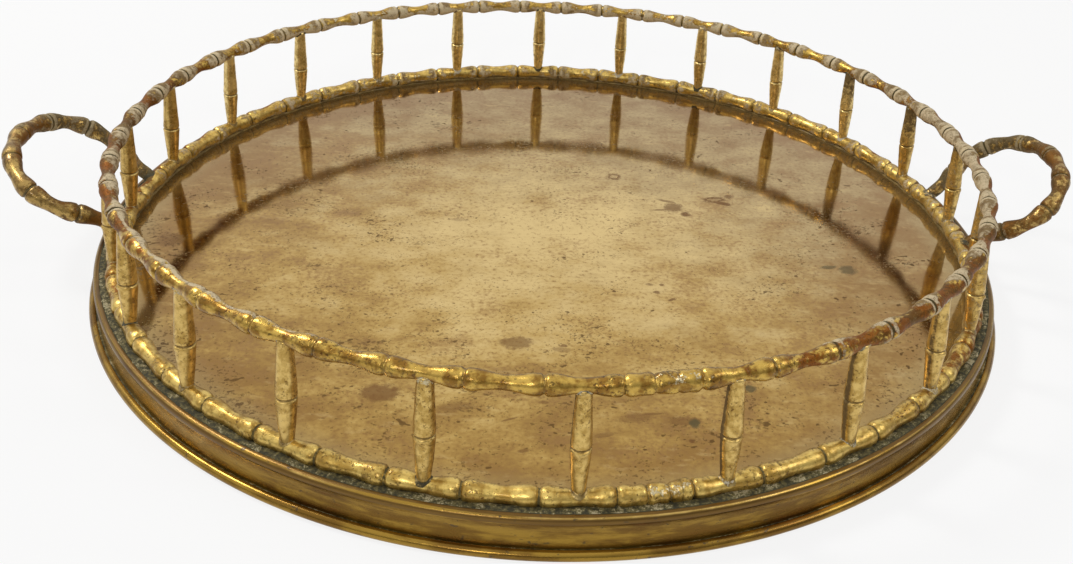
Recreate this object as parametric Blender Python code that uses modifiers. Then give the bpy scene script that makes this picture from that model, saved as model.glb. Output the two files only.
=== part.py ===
"""Round brass gallery tray: a spun pan, two bamboo rails, turned balusters and two loop handles.

Metres, +Z up. The origin is on the surface that the tray stands on, at the tray's centre, and +X
runs through the two handles. Every length below is the real one, written once.
"""
import math

import bmesh
import bpy
import numpy as np
from mathutils import Matrix, Vector

# The gap that is kept between two soldered pieces
SEAT_GAP = 0.0003

# The gallery: a rail soldered on the deck, a rail above it, and the balusters between the two
LOWER_RAIL_RADIUS = 0.1665
GALLERY_LEAN = 0.0025
GALLERY_RISE = 0.0365
BALUSTER_COUNT = 24
INTERNODES_PER_BAY = 2
RAIL_JOINT_BAY = 18

# The bamboo of the rails, as radii of the rod
UPPER_RAIL_BULGE = 0.0035
UPPER_RAIL_WAIST = 0.0022
UPPER_RAIL_GROOVE = 0.0030
LOWER_RAIL_BULGE = 0.0032
LOWER_RAIL_WAIST = 0.0021
LOWER_RAIL_GROOVE = 0.0026
BULGE_PLACE_SHARE = 0.07
CLOSING_NODE_SHARES = (0.39, 0.69)

# The balusters, as radii, and their places along the baluster from its foot
BALUSTER_HEAD = 0.0023
BALUSTER_BELLY = 0.0031
BALUSTER_RING = 0.0026
BALUSTER_FOOT = 0.0016
BALUSTER_RING_SHARE = 0.47
BALUSTER_RING_WIDTH_SHARE = 0.022
UPPER_SWELL_SHARES = (0.70, 0.62)
LOWER_SWELL_SHARES = (0.27, 0.68)

# The base pan, one spun sheet: deck, channel, rounded shoulder, skirt and a wired edge
SHEET = 0.0007
DECK_TOP = 0.0116
CHANNEL_WIDTH = 0.0005
SHOULDER_RUN = 0.0022
SHOULDER_RISE = 0.0023
SHOULDER_ROUND = 0.0017
SHOULDER_STEP = 0.0004
SKIRT_HEAD_DROP = 0.0004
WIRE_RADIUS = 0.00065
BEAD_OFFSET = 0.0028
SKIRT_HOLLOW = 0.0009
SKIRT_EASE_SHARES = (0.30, 0.72)
SHOULDER_START = math.radians(165.0)
SHOULDER_END = math.radians(-20.0)
CURL_STEP = math.radians(40.0)

# The handles: a bamboo loop that rises outwards from the lower rail, seen in its own plane
HANDLE_HALF_WIDTH = 0.0306
HANDLE_REACH = 0.0506
HANDLE_WIDEST = 0.0279
HANDLE_BULGE = 0.0038
HANDLE_WAIST = 0.0028
HANDLE_GROOVE = 0.0032
HANDLE_FOOT = 0.0023
HANDLE_INTERNODES = 8
LEG_EASE_SHARES = (0.50, 0.40)
CROWN_EASE_SHARES = (0.73, 0.36)
HANDLE_TURNS = {"handle_right": math.radians(0.8), "handle_left": math.radians(178.0)}
HANDLE_TILTS = {"handle_right": math.radians(38.0), "handle_left": math.radians(34.3)}

# How finely the round shapes are cut into faces
PAN_STEPS = 52
SHOULDER_STEPS = 4
SKIRT_STEPS = 3
CURL_STEPS = 6
WIRE_SIDES = 5
BALUSTER_SIDES = 8
ROD_BEVEL_RESOLUTION = 2
PATH_SAMPLES = 400
MERGE_SHARE = 0.1
SHARP_ANGLE = math.radians(38.0)

# Places and sizes that follow from the ones above
BAY = math.tau / BALUSTER_COUNT
INTERNODE = BAY / INTERNODES_PER_BAY
UPPER_RAIL_RADIUS = LOWER_RAIL_RADIUS - GALLERY_LEAN
LOWER_RAIL_HEIGHT = DECK_TOP + SEAT_GAP + LOWER_RAIL_BULGE
UPPER_RAIL_HEIGHT = LOWER_RAIL_HEIGHT + GALLERY_RISE
DECK_EDGE_RADIUS = LOWER_RAIL_RADIUS + LOWER_RAIL_BULGE + CHANNEL_WIDTH
CREST_RADIUS = DECK_EDGE_RADIUS + SHOULDER_RUN
CURL_INSIDE = WIRE_RADIUS + SEAT_GAP
BEAD_RADIUS = CREST_RADIUS + BEAD_OFFSET
BEAD_HEIGHT = CURL_INSIDE + SHEET
MERGE_DISTANCE = SEAT_GAP * MERGE_SHARE

COLLECTION_NAME = "brass_gallery_tray"
CUTTER_COLLECTION_NAME = "cutters"

# Colour, roughness and metallic value of each finish
FINISHES = {
    "deck_brass": ((0.56, 0.43, 0.23), 0.34, 0.95),
    "rail_brass": ((0.66, 0.49, 0.18), 0.28, 1.0),
    "baluster_brass": ((0.62, 0.49, 0.27), 0.38, 0.95),
    "handle_brass": ((0.60, 0.43, 0.18), 0.32, 1.0),
    "wire_brass": ((0.42, 0.33, 0.17), 0.50, 0.9),
}


def clear_scene():
    """Remove whatever the scene holds."""
    for scene_object in list(bpy.data.objects):
        bpy.data.objects.remove(scene_object, do_unlink=True)


def new_collection(name):
    """Return a new collection in the scene."""
    collection = bpy.data.collections.new(name)
    bpy.context.scene.collection.children.link(collection)
    return collection


def brass(name):
    """Return the material of one finish, made at its first use."""
    found = bpy.data.materials.get(name)
    if found:
        return found
    colour, roughness, metallic = FINISHES[name]
    material = bpy.data.materials.new(name)
    material.use_nodes = True
    shader = material.node_tree.nodes["Principled BSDF"]
    shader.inputs["Base Color"].default_value = (*colour, 1.0)
    shader.inputs["Roughness"].default_value = roughness
    shader.inputs["Metallic"].default_value = metallic
    material.diffuse_color = (*colour, 1.0)
    return material


def add_piece(name, data, collection, parent, finish):
    """Add one named piece of the tray, hung from the tray's datum."""
    piece = bpy.data.objects.new(name, data)
    collection.objects.link(piece)
    piece.parent = parent
    if not data.materials:
        data.materials.append(brass(finish))
    return piece


def add_cutter(name, data, collection):
    """Add a shape that only cuts others."""
    cutter = bpy.data.objects.new(name, data)
    collection.objects.link(cutter)
    cutter.hide_render = True
    cutter.display_type = "WIRE"
    return cutter


def smooth(mesh):
    """Shade a mesh smooth and keep its real edges sharp."""
    mesh.shade_smooth()
    mesh.set_sharp_from_angle(angle=SHARP_ANGLE)


def baked_mesh(scene_object, name):
    """Return the evaluated shape of an object as a mesh with its caps and seams welded."""
    bpy.context.view_layer.update()
    graph = bpy.context.evaluated_depsgraph_get()
    mesh = bpy.data.meshes.new_from_object(scene_object.evaluated_get(graph))
    mesh.name = name
    shape = bmesh.new()
    shape.from_mesh(mesh)
    bmesh.ops.remove_doubles(shape, verts=shape.verts, dist=MERGE_DISTANCE)
    shape.to_mesh(mesh)
    shape.free()
    return mesh


def profile_mesh(name, outline):
    """Return an open wire mesh through the points (radius, height) of an outline."""
    mesh = bpy.data.meshes.new(name)
    shape = bmesh.new()
    points = [shape.verts.new((radius, 0.0, height)) for radius, height in outline]
    for first, second in zip(points, points[1:]):
        shape.edges.new((first, second))
    shape.to_mesh(mesh)
    shape.free()
    return mesh


def add_screw(turned, steps):
    """Turn a profile once round the object's Z axis."""
    screw = turned.modifiers.new("turn", "SCREW")
    screw.steps = steps
    screw.render_steps = steps
    screw.use_merge_vertices = True
    screw.merge_threshold = MERGE_DISTANCE
    screw.use_smooth_shade = True


def add_cut(piece, cutter):
    """Cut a piece with a cutter."""
    cut = piece.modifiers.new("cut_" + cutter.name, "BOOLEAN")
    cut.operation = "DIFFERENCE"
    cut.solver = "EXACT"
    cut.object = cutter


def arc(centre, radius, start, end, steps):
    """Return the points of an arc in the (radius, height) plane."""
    angles = np.linspace(start, end, steps + 1)
    return [(centre[0] + radius * math.cos(a), centre[1] + radius * math.sin(a)) for a in angles]


def bezier(controls, samples):
    """Return points along a cubic curve through its four control points."""
    first, second, third, fourth = [np.array(control) for control in controls]
    t = np.linspace(0.0, 1.0, samples)[:, None]
    return (
        (1.0 - t) ** 3 * first
        + 3.0 * (1.0 - t) ** 2 * t * second
        + 3.0 * (1.0 - t) * t**2 * third
        + t**3 * fourth
    )


def pan_outline():
    """Return the upper skin of the pan, from its centre out, down the skirt and round the curl."""
    round_centre = (CREST_RADIUS, DECK_TOP + SHOULDER_RISE - SHOULDER_ROUND)
    shoulder = arc(round_centre, SHOULDER_ROUND, SHOULDER_START, SHOULDER_END, SHOULDER_STEPS)
    skirt_head = (shoulder[-1][0] - SHOULDER_STEP, shoulder[-1][1] - SKIRT_HEAD_DROP)

    # The curl lies round the wire, so that its flat lowest facet is what the tray stands on
    curl_radius = CURL_INSIDE / math.cos(CURL_STEP / 2.0)
    curl_start = -math.pi / 2.0 - CURL_STEP * 1.5
    curl_end = curl_start + CURL_STEP * CURL_STEPS
    curl = arc((BEAD_RADIUS, BEAD_HEIGHT), curl_radius, curl_start, curl_end, CURL_STEPS)

    skirt_foot = (BEAD_RADIUS - CURL_INSIDE, BEAD_HEIGHT)
    drop = skirt_head[1] - skirt_foot[1]
    hollow_radius = skirt_head[0] - SKIRT_HOLLOW
    first_share, second_share = SKIRT_EASE_SHARES
    controls = (
        skirt_head,
        (hollow_radius, skirt_head[1] - drop * first_share),
        (hollow_radius, skirt_head[1] - drop * second_share),
        skirt_foot,
    )
    skirt = [tuple(point) for point in bezier(controls, SKIRT_STEPS + 1)]
    return [(0.0, DECK_TOP), (DECK_EDGE_RADIUS, DECK_TOP)] + shoulder + skirt + curl


def build_pan(collection, datum):
    """Build the pan as a turned sheet with its edge curled outwards round the wire."""
    pan = add_piece("tray_pan", profile_mesh("tray_pan", pan_outline()), collection, datum, "deck_brass")
    add_screw(pan, PAN_STEPS)
    sheet = pan.modifiers.new("sheet", "SOLIDIFY")
    sheet.thickness = SHEET
    sheet.offset = -1.0
    sheet.use_even_offset = True
    return pan


def build_rim_wire(collection, datum):
    """Build the wire that lies inside the curl and stiffens the edge."""
    bpy.ops.mesh.primitive_torus_add(
        major_radius=BEAD_RADIUS,
        minor_radius=WIRE_RADIUS,
        major_segments=PAN_STEPS,
        minor_segments=WIRE_SIDES,
        location=(0.0, 0.0, 0.0),
    )
    made = bpy.context.object
    mesh = made.data
    bpy.data.objects.remove(made)
    mesh.name = "rim_wire"
    mesh.materials.clear()
    smooth(mesh)
    wire = add_piece("rim_wire", mesh, collection, datum, "wire_brass")
    wire.location.z = BEAD_HEIGHT
    return wire


def bamboo_stations(nodes, waist, bulge, groove, full_length, clearance=0.0):
    """Return (place, radius) along a run of bamboo whose node rings lie at the places given.

    A stretch shorter than full_length is drawn in less at its waist.
    """
    stations = []
    for start, end in zip(nodes, nodes[1:]):
        length = end - start
        drawn_in = (bulge - waist) * min(1.0, length / full_length)
        stations.append((start, groove + clearance))
        stations.append((start + length * BULGE_PLACE_SHARE, bulge + clearance))
        stations.append((start + length / 2.0, bulge - drawn_in + clearance))
        stations.append((end - length * BULGE_PLACE_SHARE, bulge + clearance))
    stations.append((nodes[-1], groove + clearance))
    return stations


def rod_mesh(name, points, radii):
    """Return a rod of changing thickness along a path, with closed ends, as a mesh."""
    thickest = max(radii)
    curve = bpy.data.curves.new(name, "CURVE")
    curve.dimensions = "3D"
    curve.twist_mode = "Z_UP"
    curve.bevel_mode = "ROUND"
    curve.bevel_depth = thickest
    curve.bevel_resolution = ROD_BEVEL_RESOLUTION
    curve.use_fill_caps = True
    spline = curve.splines.new("POLY")
    spline.points.add(len(points) - 1)
    for control, point, radius in zip(spline.points, points, radii):
        control.co = (*point, 1.0)
        control.radius = radius / thickest
    carrier = bpy.data.objects.new(name, curve)
    bpy.context.scene.collection.objects.link(carrier)
    mesh = baked_mesh(carrier, name)
    bpy.data.objects.remove(carrier)
    smooth(mesh)
    return mesh


def ring_rod_mesh(name, ring_radius, height, stations):
    """Return a bamboo rod bent to part of a ring, from stations placed by angle."""
    points = [
        (ring_radius * math.cos(angle), ring_radius * math.sin(angle), height)
        for angle, _ in stations
    ]
    return rod_mesh(name, points, [radius for _, radius in stations])


def lower_rail_mesh(name, nodes, clearance=0.0):
    """Return a stretch of the lower rail between the node angles given."""
    sizes = (LOWER_RAIL_WAIST, LOWER_RAIL_BULGE, LOWER_RAIL_GROOVE)
    stations = bamboo_stations(nodes, *sizes, INTERNODE, clearance)
    return ring_rod_mesh(name, LOWER_RAIL_RADIUS, LOWER_RAIL_HEIGHT, stations)


def upper_rail_mesh(name, nodes, clearance=0.0):
    """Return a stretch of the upper rail between the node angles given."""
    sizes = (UPPER_RAIL_WAIST, UPPER_RAIL_BULGE, UPPER_RAIL_GROOVE)
    stations = bamboo_stations(nodes, *sizes, INTERNODE, clearance)
    return ring_rod_mesh(name, UPPER_RAIL_RADIUS, UPPER_RAIL_HEIGHT, stations)


def rail_nodes(ring_radius):
    """Return the node angles of the long run of a rail, a gap short of its closing length."""
    joint = RAIL_JOINT_BAY * INTERNODES_PER_BAY + INTERNODES_PER_BAY // 2
    count = BALUSTER_COUNT * INTERNODES_PER_BAY
    nodes = [(joint + 0.5 + index) * INTERNODE for index in range(count)]
    half_gap = SEAT_GAP / ring_radius / 2.0
    nodes[0] += half_gap
    nodes[-1] -= half_gap
    return nodes


def closing_nodes(ring_radius):
    """Return the node angles of the short closing length, where the bent rail's ends meet."""
    joint = RAIL_JOINT_BAY * INTERNODES_PER_BAY + INTERNODES_PER_BAY // 2
    half_gap = SEAT_GAP / ring_radius / 2.0
    start = (joint - 0.5) * INTERNODE
    inner = [start + share * INTERNODE for share in CLOSING_NODE_SHARES]
    return [start + half_gap] + inner + [start + INTERNODE - half_gap]


def build_rails(collection, datum):
    """Build both rails, each a long bent run and the short length that closes its ring."""
    lower = lower_rail_mesh("lower_rail", rail_nodes(LOWER_RAIL_RADIUS))
    upper = upper_rail_mesh("upper_rail", rail_nodes(UPPER_RAIL_RADIUS))
    lower_closing = lower_rail_mesh("lower_rail_closing_length", closing_nodes(LOWER_RAIL_RADIUS))
    upper_closing = upper_rail_mesh("upper_rail_closing_length", closing_nodes(UPPER_RAIL_RADIUS))
    for mesh in (lower, upper, lower_closing, upper_closing):
        add_piece(mesh.name, mesh, collection, datum, "rail_brass")


def baluster_outline(length):
    """Return the turned outline of a baluster, from its head down to its coped foot."""
    ring = BALUSTER_RING_SHARE
    lip = BALUSTER_RING_WIDTH_SHARE
    upper_place, upper_fullness = UPPER_SWELL_SHARES
    lower_place, lower_fullness = LOWER_SWELL_SHARES
    upper_swell = BALUSTER_HEAD + (BALUSTER_BELLY - BALUSTER_HEAD) * upper_fullness
    lower_swell = BALUSTER_FOOT + (BALUSTER_BELLY - BALUSTER_FOOT) * lower_fullness
    return [
        (0.0, length),
        (BALUSTER_HEAD, length),
        (upper_swell, length * upper_place),
        (BALUSTER_BELLY, length * (ring + lip)),
        (BALUSTER_RING, length * ring),
        (BALUSTER_BELLY, length * (ring - lip)),
        (lower_swell, length * lower_place),
        (BALUSTER_FOOT, 0.0),
        (0.0, 0.0),
    ]


def middle_internode():
    """Return the nodes of the stretch of rail that the baluster on +X stands in."""
    return [-INTERNODE / 2.0, INTERNODE / 2.0]


def build_balusters(collection, cutters, datum):
    """Build the balusters, whose two ends are coped to the rails that they are soldered to."""
    foot = Vector((LOWER_RAIL_RADIUS, 0.0, LOWER_RAIL_HEIGHT))
    head = Vector((UPPER_RAIL_RADIUS, 0.0, UPPER_RAIL_HEIGHT))
    lean = (head - foot).to_track_quat("Z", "Y").to_matrix().to_4x4()
    stance = Matrix.Translation(foot) @ lean

    # The copes are cut by the rails themselves, made thicker by the gap
    lower_cope = lower_rail_mesh("lower_cope", middle_internode(), SEAT_GAP)
    upper_cope = upper_rail_mesh("upper_cope", middle_internode(), SEAT_GAP)
    blank_mesh = profile_mesh("baluster_blank", baluster_outline((head - foot).length))
    blank = add_cutter("baluster_blank", blank_mesh, cutters)
    blank.matrix_world = stance
    add_screw(blank, BALUSTER_SIDES)
    add_cut(blank, add_cutter("lower_cope", lower_cope, cutters))
    add_cut(blank, add_cutter("upper_cope", upper_cope, cutters))
    turned = baked_mesh(blank, "baluster")
    smooth(turned)
    bpy.data.objects.remove(blank)

    for index in range(BALUSTER_COUNT):
        name = f"baluster_{index + 1:02d}"
        baluster = add_piece(name, turned, collection, datum, "baluster_brass")
        baluster.matrix_world = Matrix.Rotation(index * BAY, 4, "Z") @ stance


def loop_in_its_plane():
    """Return the handle's centre line in its own plane, foot to foot, as (across, outward)."""
    foot = (LOWER_RAIL_RADIUS * math.sin(INTERNODE), 0.0)
    wide = (HANDLE_HALF_WIDTH, HANDLE_WIDEST)
    crown = (0.0, HANDLE_REACH)
    leg_rise, leg_settle = LEG_EASE_SHARES
    crown_rise, crown_settle = CROWN_EASE_SHARES
    leg = bezier(
        (
            foot,
            (foot[0], HANDLE_WIDEST * leg_rise),
            (wide[0], HANDLE_WIDEST * (1.0 - leg_settle)),
            wide,
        ),
        PATH_SAMPLES,
    )
    bow = bezier(
        (
            wide,
            (wide[0], HANDLE_WIDEST + (HANDLE_REACH - HANDLE_WIDEST) * crown_rise),
            (HANDLE_HALF_WIDTH * crown_settle, HANDLE_REACH),
            crown,
        ),
        PATH_SAMPLES,
    )
    half = np.vstack([leg, bow[1:]])
    other_half = half[::-1][1:] * (-1.0, 1.0)
    return np.vstack([half, other_half])


def handle_mesh(name, turn, tilt):
    """Return a bamboo loop that rises outwards from the lower rail at the tilt given."""
    flat = loop_in_its_plane()
    steps = np.linalg.norm(np.diff(flat, axis=0), axis=1)
    lengths = np.concatenate([[0.0], np.cumsum(steps)])
    nodes = list(np.linspace(0.0, lengths[-1], HANDLE_INTERNODES + 1))
    sizes = (HANDLE_WAIST, HANDLE_BULGE, HANDLE_GROOVE)
    stations = bamboo_stations(nodes, *sizes, nodes[1])

    # The two feet taper to the rail, so they have no bulge where they meet it
    stations = [(0.0, HANDLE_FOOT)] + stations[2:-2] + [(lengths[-1], HANDLE_FOOT)]
    place = Matrix.Rotation(turn, 4, "Z") @ Matrix.Translation(
        (LOWER_RAIL_RADIUS * math.cos(INTERNODE), 0.0, LOWER_RAIL_HEIGHT)
    )
    points = []
    for along, _ in stations:
        across = float(np.interp(along, lengths, flat[:, 0]))
        outward = float(np.interp(along, lengths, flat[:, 1]))
        level = outward * math.cos(tilt)
        raised = outward * math.sin(tilt)
        points.append(place @ Vector((level, across, raised)))
    return rod_mesh(name, points, [radius for _, radius in stations])


def build_handles(collection, cutters, datum):
    """Build both handles, with their feet coped to the lower rail."""
    half_span = INTERNODES_PER_BAY + 0.5
    for name, turn in HANDLE_TURNS.items():
        loop = handle_mesh(name, turn, HANDLE_TILTS[name])
        handle = add_piece(name, loop, collection, datum, "handle_brass")
        middle = round(turn / INTERNODE)
        first = middle - half_span
        nodes = [(first + step) * INTERNODE for step in range(int(2 * half_span) + 1)]
        cope = lower_rail_mesh(name + "_cope", nodes, SEAT_GAP)
        add_cut(handle, add_cutter(name + "_cope", cope, cutters))


def main():
    """Build the tray."""
    clear_scene()
    collection = new_collection(COLLECTION_NAME)
    cutters = new_collection(CUTTER_COLLECTION_NAME)
    datum = bpy.data.objects.new("tray_datum", None)
    collection.objects.link(datum)
    build_pan(collection, datum)
    build_rim_wire(collection, datum)
    build_rails(collection, datum)
    build_balusters(collection, cutters, datum)
    build_handles(collection, cutters, datum)
    bpy.context.view_layer.update()


main()
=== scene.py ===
"""Looks of the brass gallery tray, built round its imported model.

A spun pan with a wired edge carries a gallery of bamboo-shaped brass: two bent rails, 24 turned
balusters and two loop handles, all soft-soldered. Lengths are in metres and turns in degrees unless
a name says otherwise. Azimuths are counted from +X towards +Y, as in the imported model.
"""

import logging
import math
from collections.abc import Sequence
from dataclasses import dataclass, field, replace
from enum import Enum

import bmesh
import bpy
import numpy as np
from mathutils import Matrix, Vector, noise


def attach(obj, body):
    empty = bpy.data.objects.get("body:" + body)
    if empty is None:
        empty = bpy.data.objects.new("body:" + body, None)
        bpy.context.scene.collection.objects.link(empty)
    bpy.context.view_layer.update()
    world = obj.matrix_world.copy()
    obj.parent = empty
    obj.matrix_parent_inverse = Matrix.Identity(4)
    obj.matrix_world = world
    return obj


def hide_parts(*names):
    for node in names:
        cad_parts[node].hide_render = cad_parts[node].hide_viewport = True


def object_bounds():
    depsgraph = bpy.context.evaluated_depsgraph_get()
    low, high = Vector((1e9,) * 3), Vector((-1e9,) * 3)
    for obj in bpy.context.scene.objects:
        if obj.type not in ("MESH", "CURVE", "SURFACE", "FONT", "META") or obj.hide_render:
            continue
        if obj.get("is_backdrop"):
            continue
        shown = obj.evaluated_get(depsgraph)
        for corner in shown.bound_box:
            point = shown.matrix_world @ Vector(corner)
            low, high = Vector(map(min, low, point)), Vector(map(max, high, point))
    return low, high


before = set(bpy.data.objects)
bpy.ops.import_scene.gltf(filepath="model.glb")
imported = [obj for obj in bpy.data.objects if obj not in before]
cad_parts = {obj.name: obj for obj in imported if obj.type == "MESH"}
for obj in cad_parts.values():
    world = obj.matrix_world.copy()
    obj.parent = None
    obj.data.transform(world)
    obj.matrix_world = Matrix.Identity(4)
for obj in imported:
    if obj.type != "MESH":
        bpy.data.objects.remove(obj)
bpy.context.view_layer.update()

LOG = logging.getLogger("brass_gallery_tray")
ROOT_BODY = "root"
FULL_TURN = 360.0
UP = np.array([0.0, 0.0, 1.0])
LEVEL = np.array([1.0, 1.0, 0.0])
# How far apart the noise of one seed is read from that of the next.
NOISE_STEP = np.array([17.3, 5.7, 11.9])
# How near a cut its lips start and end.
LIPS_START = (0.002, 0.02)
LIPS_END = (0.25, 0.70)

Array = np.ndarray
Material = bpy.types.Material
Colour = tuple[float, float, float]
Triple = tuple[float, float, float]
Number = float | int


class Slot(Enum):
    """The record's material slots, one for each kind of new piece, passed along but not set on the pieces.
    """

    DECK = "deck_brass"
    RAIL = "rail_brass"
    BALUSTER = "baluster_brass"
    HANDLE = "handle_brass"


class Paint(Enum):
    """What a mesh tells its material at each point: 0 is none of it, and 1 is all of it or nearly."""

    # On the pan, cut carries a painted highlight along the shoulder's crest and a painted reflection on the
    # skirt's sides.
    CUT = "cut"
    # tarnish carries real tarnish, and painted shade on the rails' undersides and the balusters' edges.
    TARNISH_AND_SHADE = "tarnish"
    # oxide carries chalky oxide on the rods and the solder, and painted shade on the pan.
    OXIDE_AND_SHADE = "oxide"
    # grime carries verdigris and dirt, and painted shade on one side of the front balusters.
    GRIME = "grime"
    # solder carries real solder, and painted glints of pale metal along the back of the rails.
    SOLDER_AND_GLINTS = "solder"
    # lip carries powder on the lips of the rods' cuts, and painted shade on the pan's shoulder.
    LIP_AND_SHADE = "lip"


Mix = dict[Paint | str, float]
Painting = dict[Paint, Array]


def tint(red: Number, green: Number, blue: Number) -> Colour:
    """Return a colour written in the usual 0 to 255 steps as the linear values a shader takes.

    Args:
        red: Red, 0 to 255.
        green: Green, 0 to 255.
        blue: Blue, 0 to 255.

    Returns:
        The three linear values, by the standard curve of screen colours.
    """
    shares = [step / 255.0 for step in (red, green, blue)]
    linear = [s / 12.92 if s <= 0.04045 else ((s + 0.055) / 1.055) ** 2.4 for s in shares]
    return linear[0], linear[1], linear[2]


@dataclass(frozen=True)
class Grain:
    """One layer of cloudy noise: the size of its spots, its finer layers and how it is laid.

    stretch is how much longer its spots are along each axis, turn is how far those axes are turned
    about Z, and shift is where the noise is read, so that two grains differ.
    """

    size: float
    detail: float = 3.0
    stretch: Triple = (1.0, 1.0, 1.0)
    turn: float = 0.0
    shift: Triple = (0.0, 0.0, 0.0)


@dataclass(frozen=True)
class Coat:
    """One coat of a finish.

    mix is how much of each paint and of each grain it follows. It starts to show where they add up to
    start and is whole at end. cover is how much it then hides, dulling is the metal that it takes away
    and roughening is the roughness that it adds.
    """

    mix: Mix
    start: float
    end: float
    cover: float = 1.0
    dulling: float = 0.0
    roughening: float = 0.0
    colour: Colour = (1.0, 1.0, 1.0)


class Value:
    """A shader socket that Python's operators work on, each adding one Math node."""

    def __init__(self, graph: "Graph", output: bpy.types.NodeSocket) -> None:
        """Keep the graph and the output socket that the value comes from."""
        self.graph = graph
        self.output = output

    def _sum(self, operation: str, *terms: "Value | Number") -> "Value":
        """Add a Math node of that operation on the terms."""
        return self.graph.node("ShaderNodeMath", {"operation": operation}, dict(enumerate(terms)))

    def __add__(self, other: "Value | Number") -> "Value":
        """Return self + other."""
        return self._sum("ADD", self, other)

    __radd__ = __add__

    def __sub__(self, other: "Value | Number") -> "Value":
        """Return self - other."""
        return self._sum("SUBTRACT", self, other)

    def __rsub__(self, other: Number) -> "Value":
        """Return other - self."""
        return self._sum("SUBTRACT", other, self)

    def __mul__(self, other: "Value | Number") -> "Value":
        """Return self * other."""
        return self._sum("MULTIPLY", self, other)

    __rmul__ = __mul__

    def __truediv__(self, other: "Value | Number") -> "Value":
        """Return self / other."""
        return self._sum("DIVIDE", self, other)

    def __pow__(self, other: "Value | Number") -> "Value":
        """Return self ** other."""
        return self._sum("POWER", self, other)

    def most(self, other: "Value | Number") -> "Value":
        """Return the larger of the two."""
        return self._sum("MAXIMUM", self, other)

    def least(self, other: "Value | Number") -> "Value":
        """Return the smaller of the two."""
        return self._sum("MINIMUM", self, other)

    def held(self, low: Number = 0.0) -> "Value":
        """Return the value held between low and 1."""
        return self.most(low).least(1.0)

    def rise(self, low: Number, high: Number) -> "Value":
        """Return 0 below low, 1 above high and a smooth rise between, or a fall if low is above high."""
        sockets = {"Value": self, "From Min": low, "From Max": high}
        return self.graph.node("ShaderNodeMapRange", {"interpolation_type": "SMOOTHSTEP"}, sockets)

    def other(self, output: str) -> "Value":
        """Return another output of the same node."""
        return Value(self.graph, self.output.node.outputs[output])


class Graph:
    """The nodes of one material or world, made in the order of its sums."""

    MIX_FACTOR = 0
    MIX_A = 6
    MIX_B = 7
    MIX_COLOUR = 2
    MIDDLE = 0.5
    GRAIN_ROUGHNESS = 0.6

    def __init__(self, tree: bpy.types.NodeTree, grains: dict[str, Grain] | None = None) -> None:
        """Start on an empty tree.

        Args:
            tree: The node tree.
            grains: The grains that its coats are mixed of, by name.
        """
        tree.nodes.clear()
        self.tree = tree
        self.grains = {name: self.grain(grain) for name, grain in (grains or {}).items()}

    def node(
        self,
        kind: str,
        settings: dict | None = None,
        inputs: dict | None = None,
        output: int | str = 0,
    ) -> Value:
        """Add one node: its settings first, then its sockets.

        Args:
            kind: The node's type.
            settings: Properties of the node.
            inputs: A value or a link for each socket, by name or by number.
            output: The output that is wanted, by name or by number.

        Returns:
            That output.
        """
        made = self.tree.nodes.new(kind)
        for name, setting in (settings or {}).items():
            setattr(made, name, setting)
        for key, given in (inputs or {}).items():
            if isinstance(given, Value):
                self.tree.links.new(given.output, made.inputs[key])
            else:
                made.inputs[key].default_value = given
        return Value(self, made.outputs[output] if len(made.outputs) else None)

    def painted(self, paint: Paint) -> Value:
        """Return what the mesh has painted at this point."""
        return self.node("ShaderNodeAttribute", {"attribute_name": paint.value}, None, "Fac")

    def place(self) -> Value:
        """Return the point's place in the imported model's frame."""
        return self.node("ShaderNodeTexCoord", None, None, "Object")

    def laid(self, location: Sequence[float], turn: float, scale: Sequence[float]) -> Value:
        """Return the point's place in a frame of its own.

        Args:
            location: The frame's origin.
            turn: How far it is turned about Z.
            scale: The length of its unit along each axis.

        Returns:
            The place.
        """
        sockets = {
            "Vector": self.place(),
            "Location": location,
            "Rotation": (0.0, 0.0, math.radians(turn)),
            "Scale": scale,
        }
        return self.node("ShaderNodeMapping", {"vector_type": "TEXTURE"}, sockets)

    def grain(self, grain: Grain) -> Value:
        """Return a grain's noise, between 0 and 1."""
        sockets = {
            "Vector": self.laid(grain.shift, grain.turn, grain.stretch),
            "Scale": 1.0 / grain.size,
            "Detail": grain.detail,
            "Roughness": self.GRAIN_ROUGHNESS,
        }
        return self.node("ShaderNodeTexNoise", None, sockets)

    def mixed(self, mix: Mix, total: Value | Number | None = None) -> Value | Number:
        """Add up paints, and grains counted from their middle.

        Args:
            mix: The share of each.
            total: What they are added to, if anything.

        Returns:
            The sum.
        """
        for key, share in mix.items():
            part = self.painted(key) if isinstance(key, Paint) else self.grains[key] - self.MIDDLE
            total = part * share if total is None else part * share + total
        return total

    def coat(self, coat: Coat, total: Value | None = None) -> Value:
        """Return how far a coat shows, from 0 to 1, with its mix added to the total."""
        return self.mixed(coat.mix, total).rise(coat.start, coat.end)

    def blend(self, share: Value | Number, first: Value | Colour, second: Value | Colour) -> Value:
        """Return the first colour turning into the second as share goes from 0 to 1.

        Args:
            share: How much of the second colour shows.
            first: The colour at 0.
            second: The colour at 1.

        Returns:
            The mixed colour.
        """
        opaque = [c if isinstance(c, Value) else (*c, 1.0) for c in (first, second)]
        sockets = {self.MIX_FACTOR: share, self.MIX_A: opaque[0], self.MIX_B: opaque[1]}
        return self.node("ShaderNodeMix", {"data_type": "RGBA"}, sockets, self.MIX_COLOUR)

    def bump(self, height: Value, depth: float) -> Value:
        """Return the normal of a relief from 0 to 1 that is as deep as depth."""
        return self.node("ShaderNodeBump", None, {"Height": height, "Distance": depth})


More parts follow.
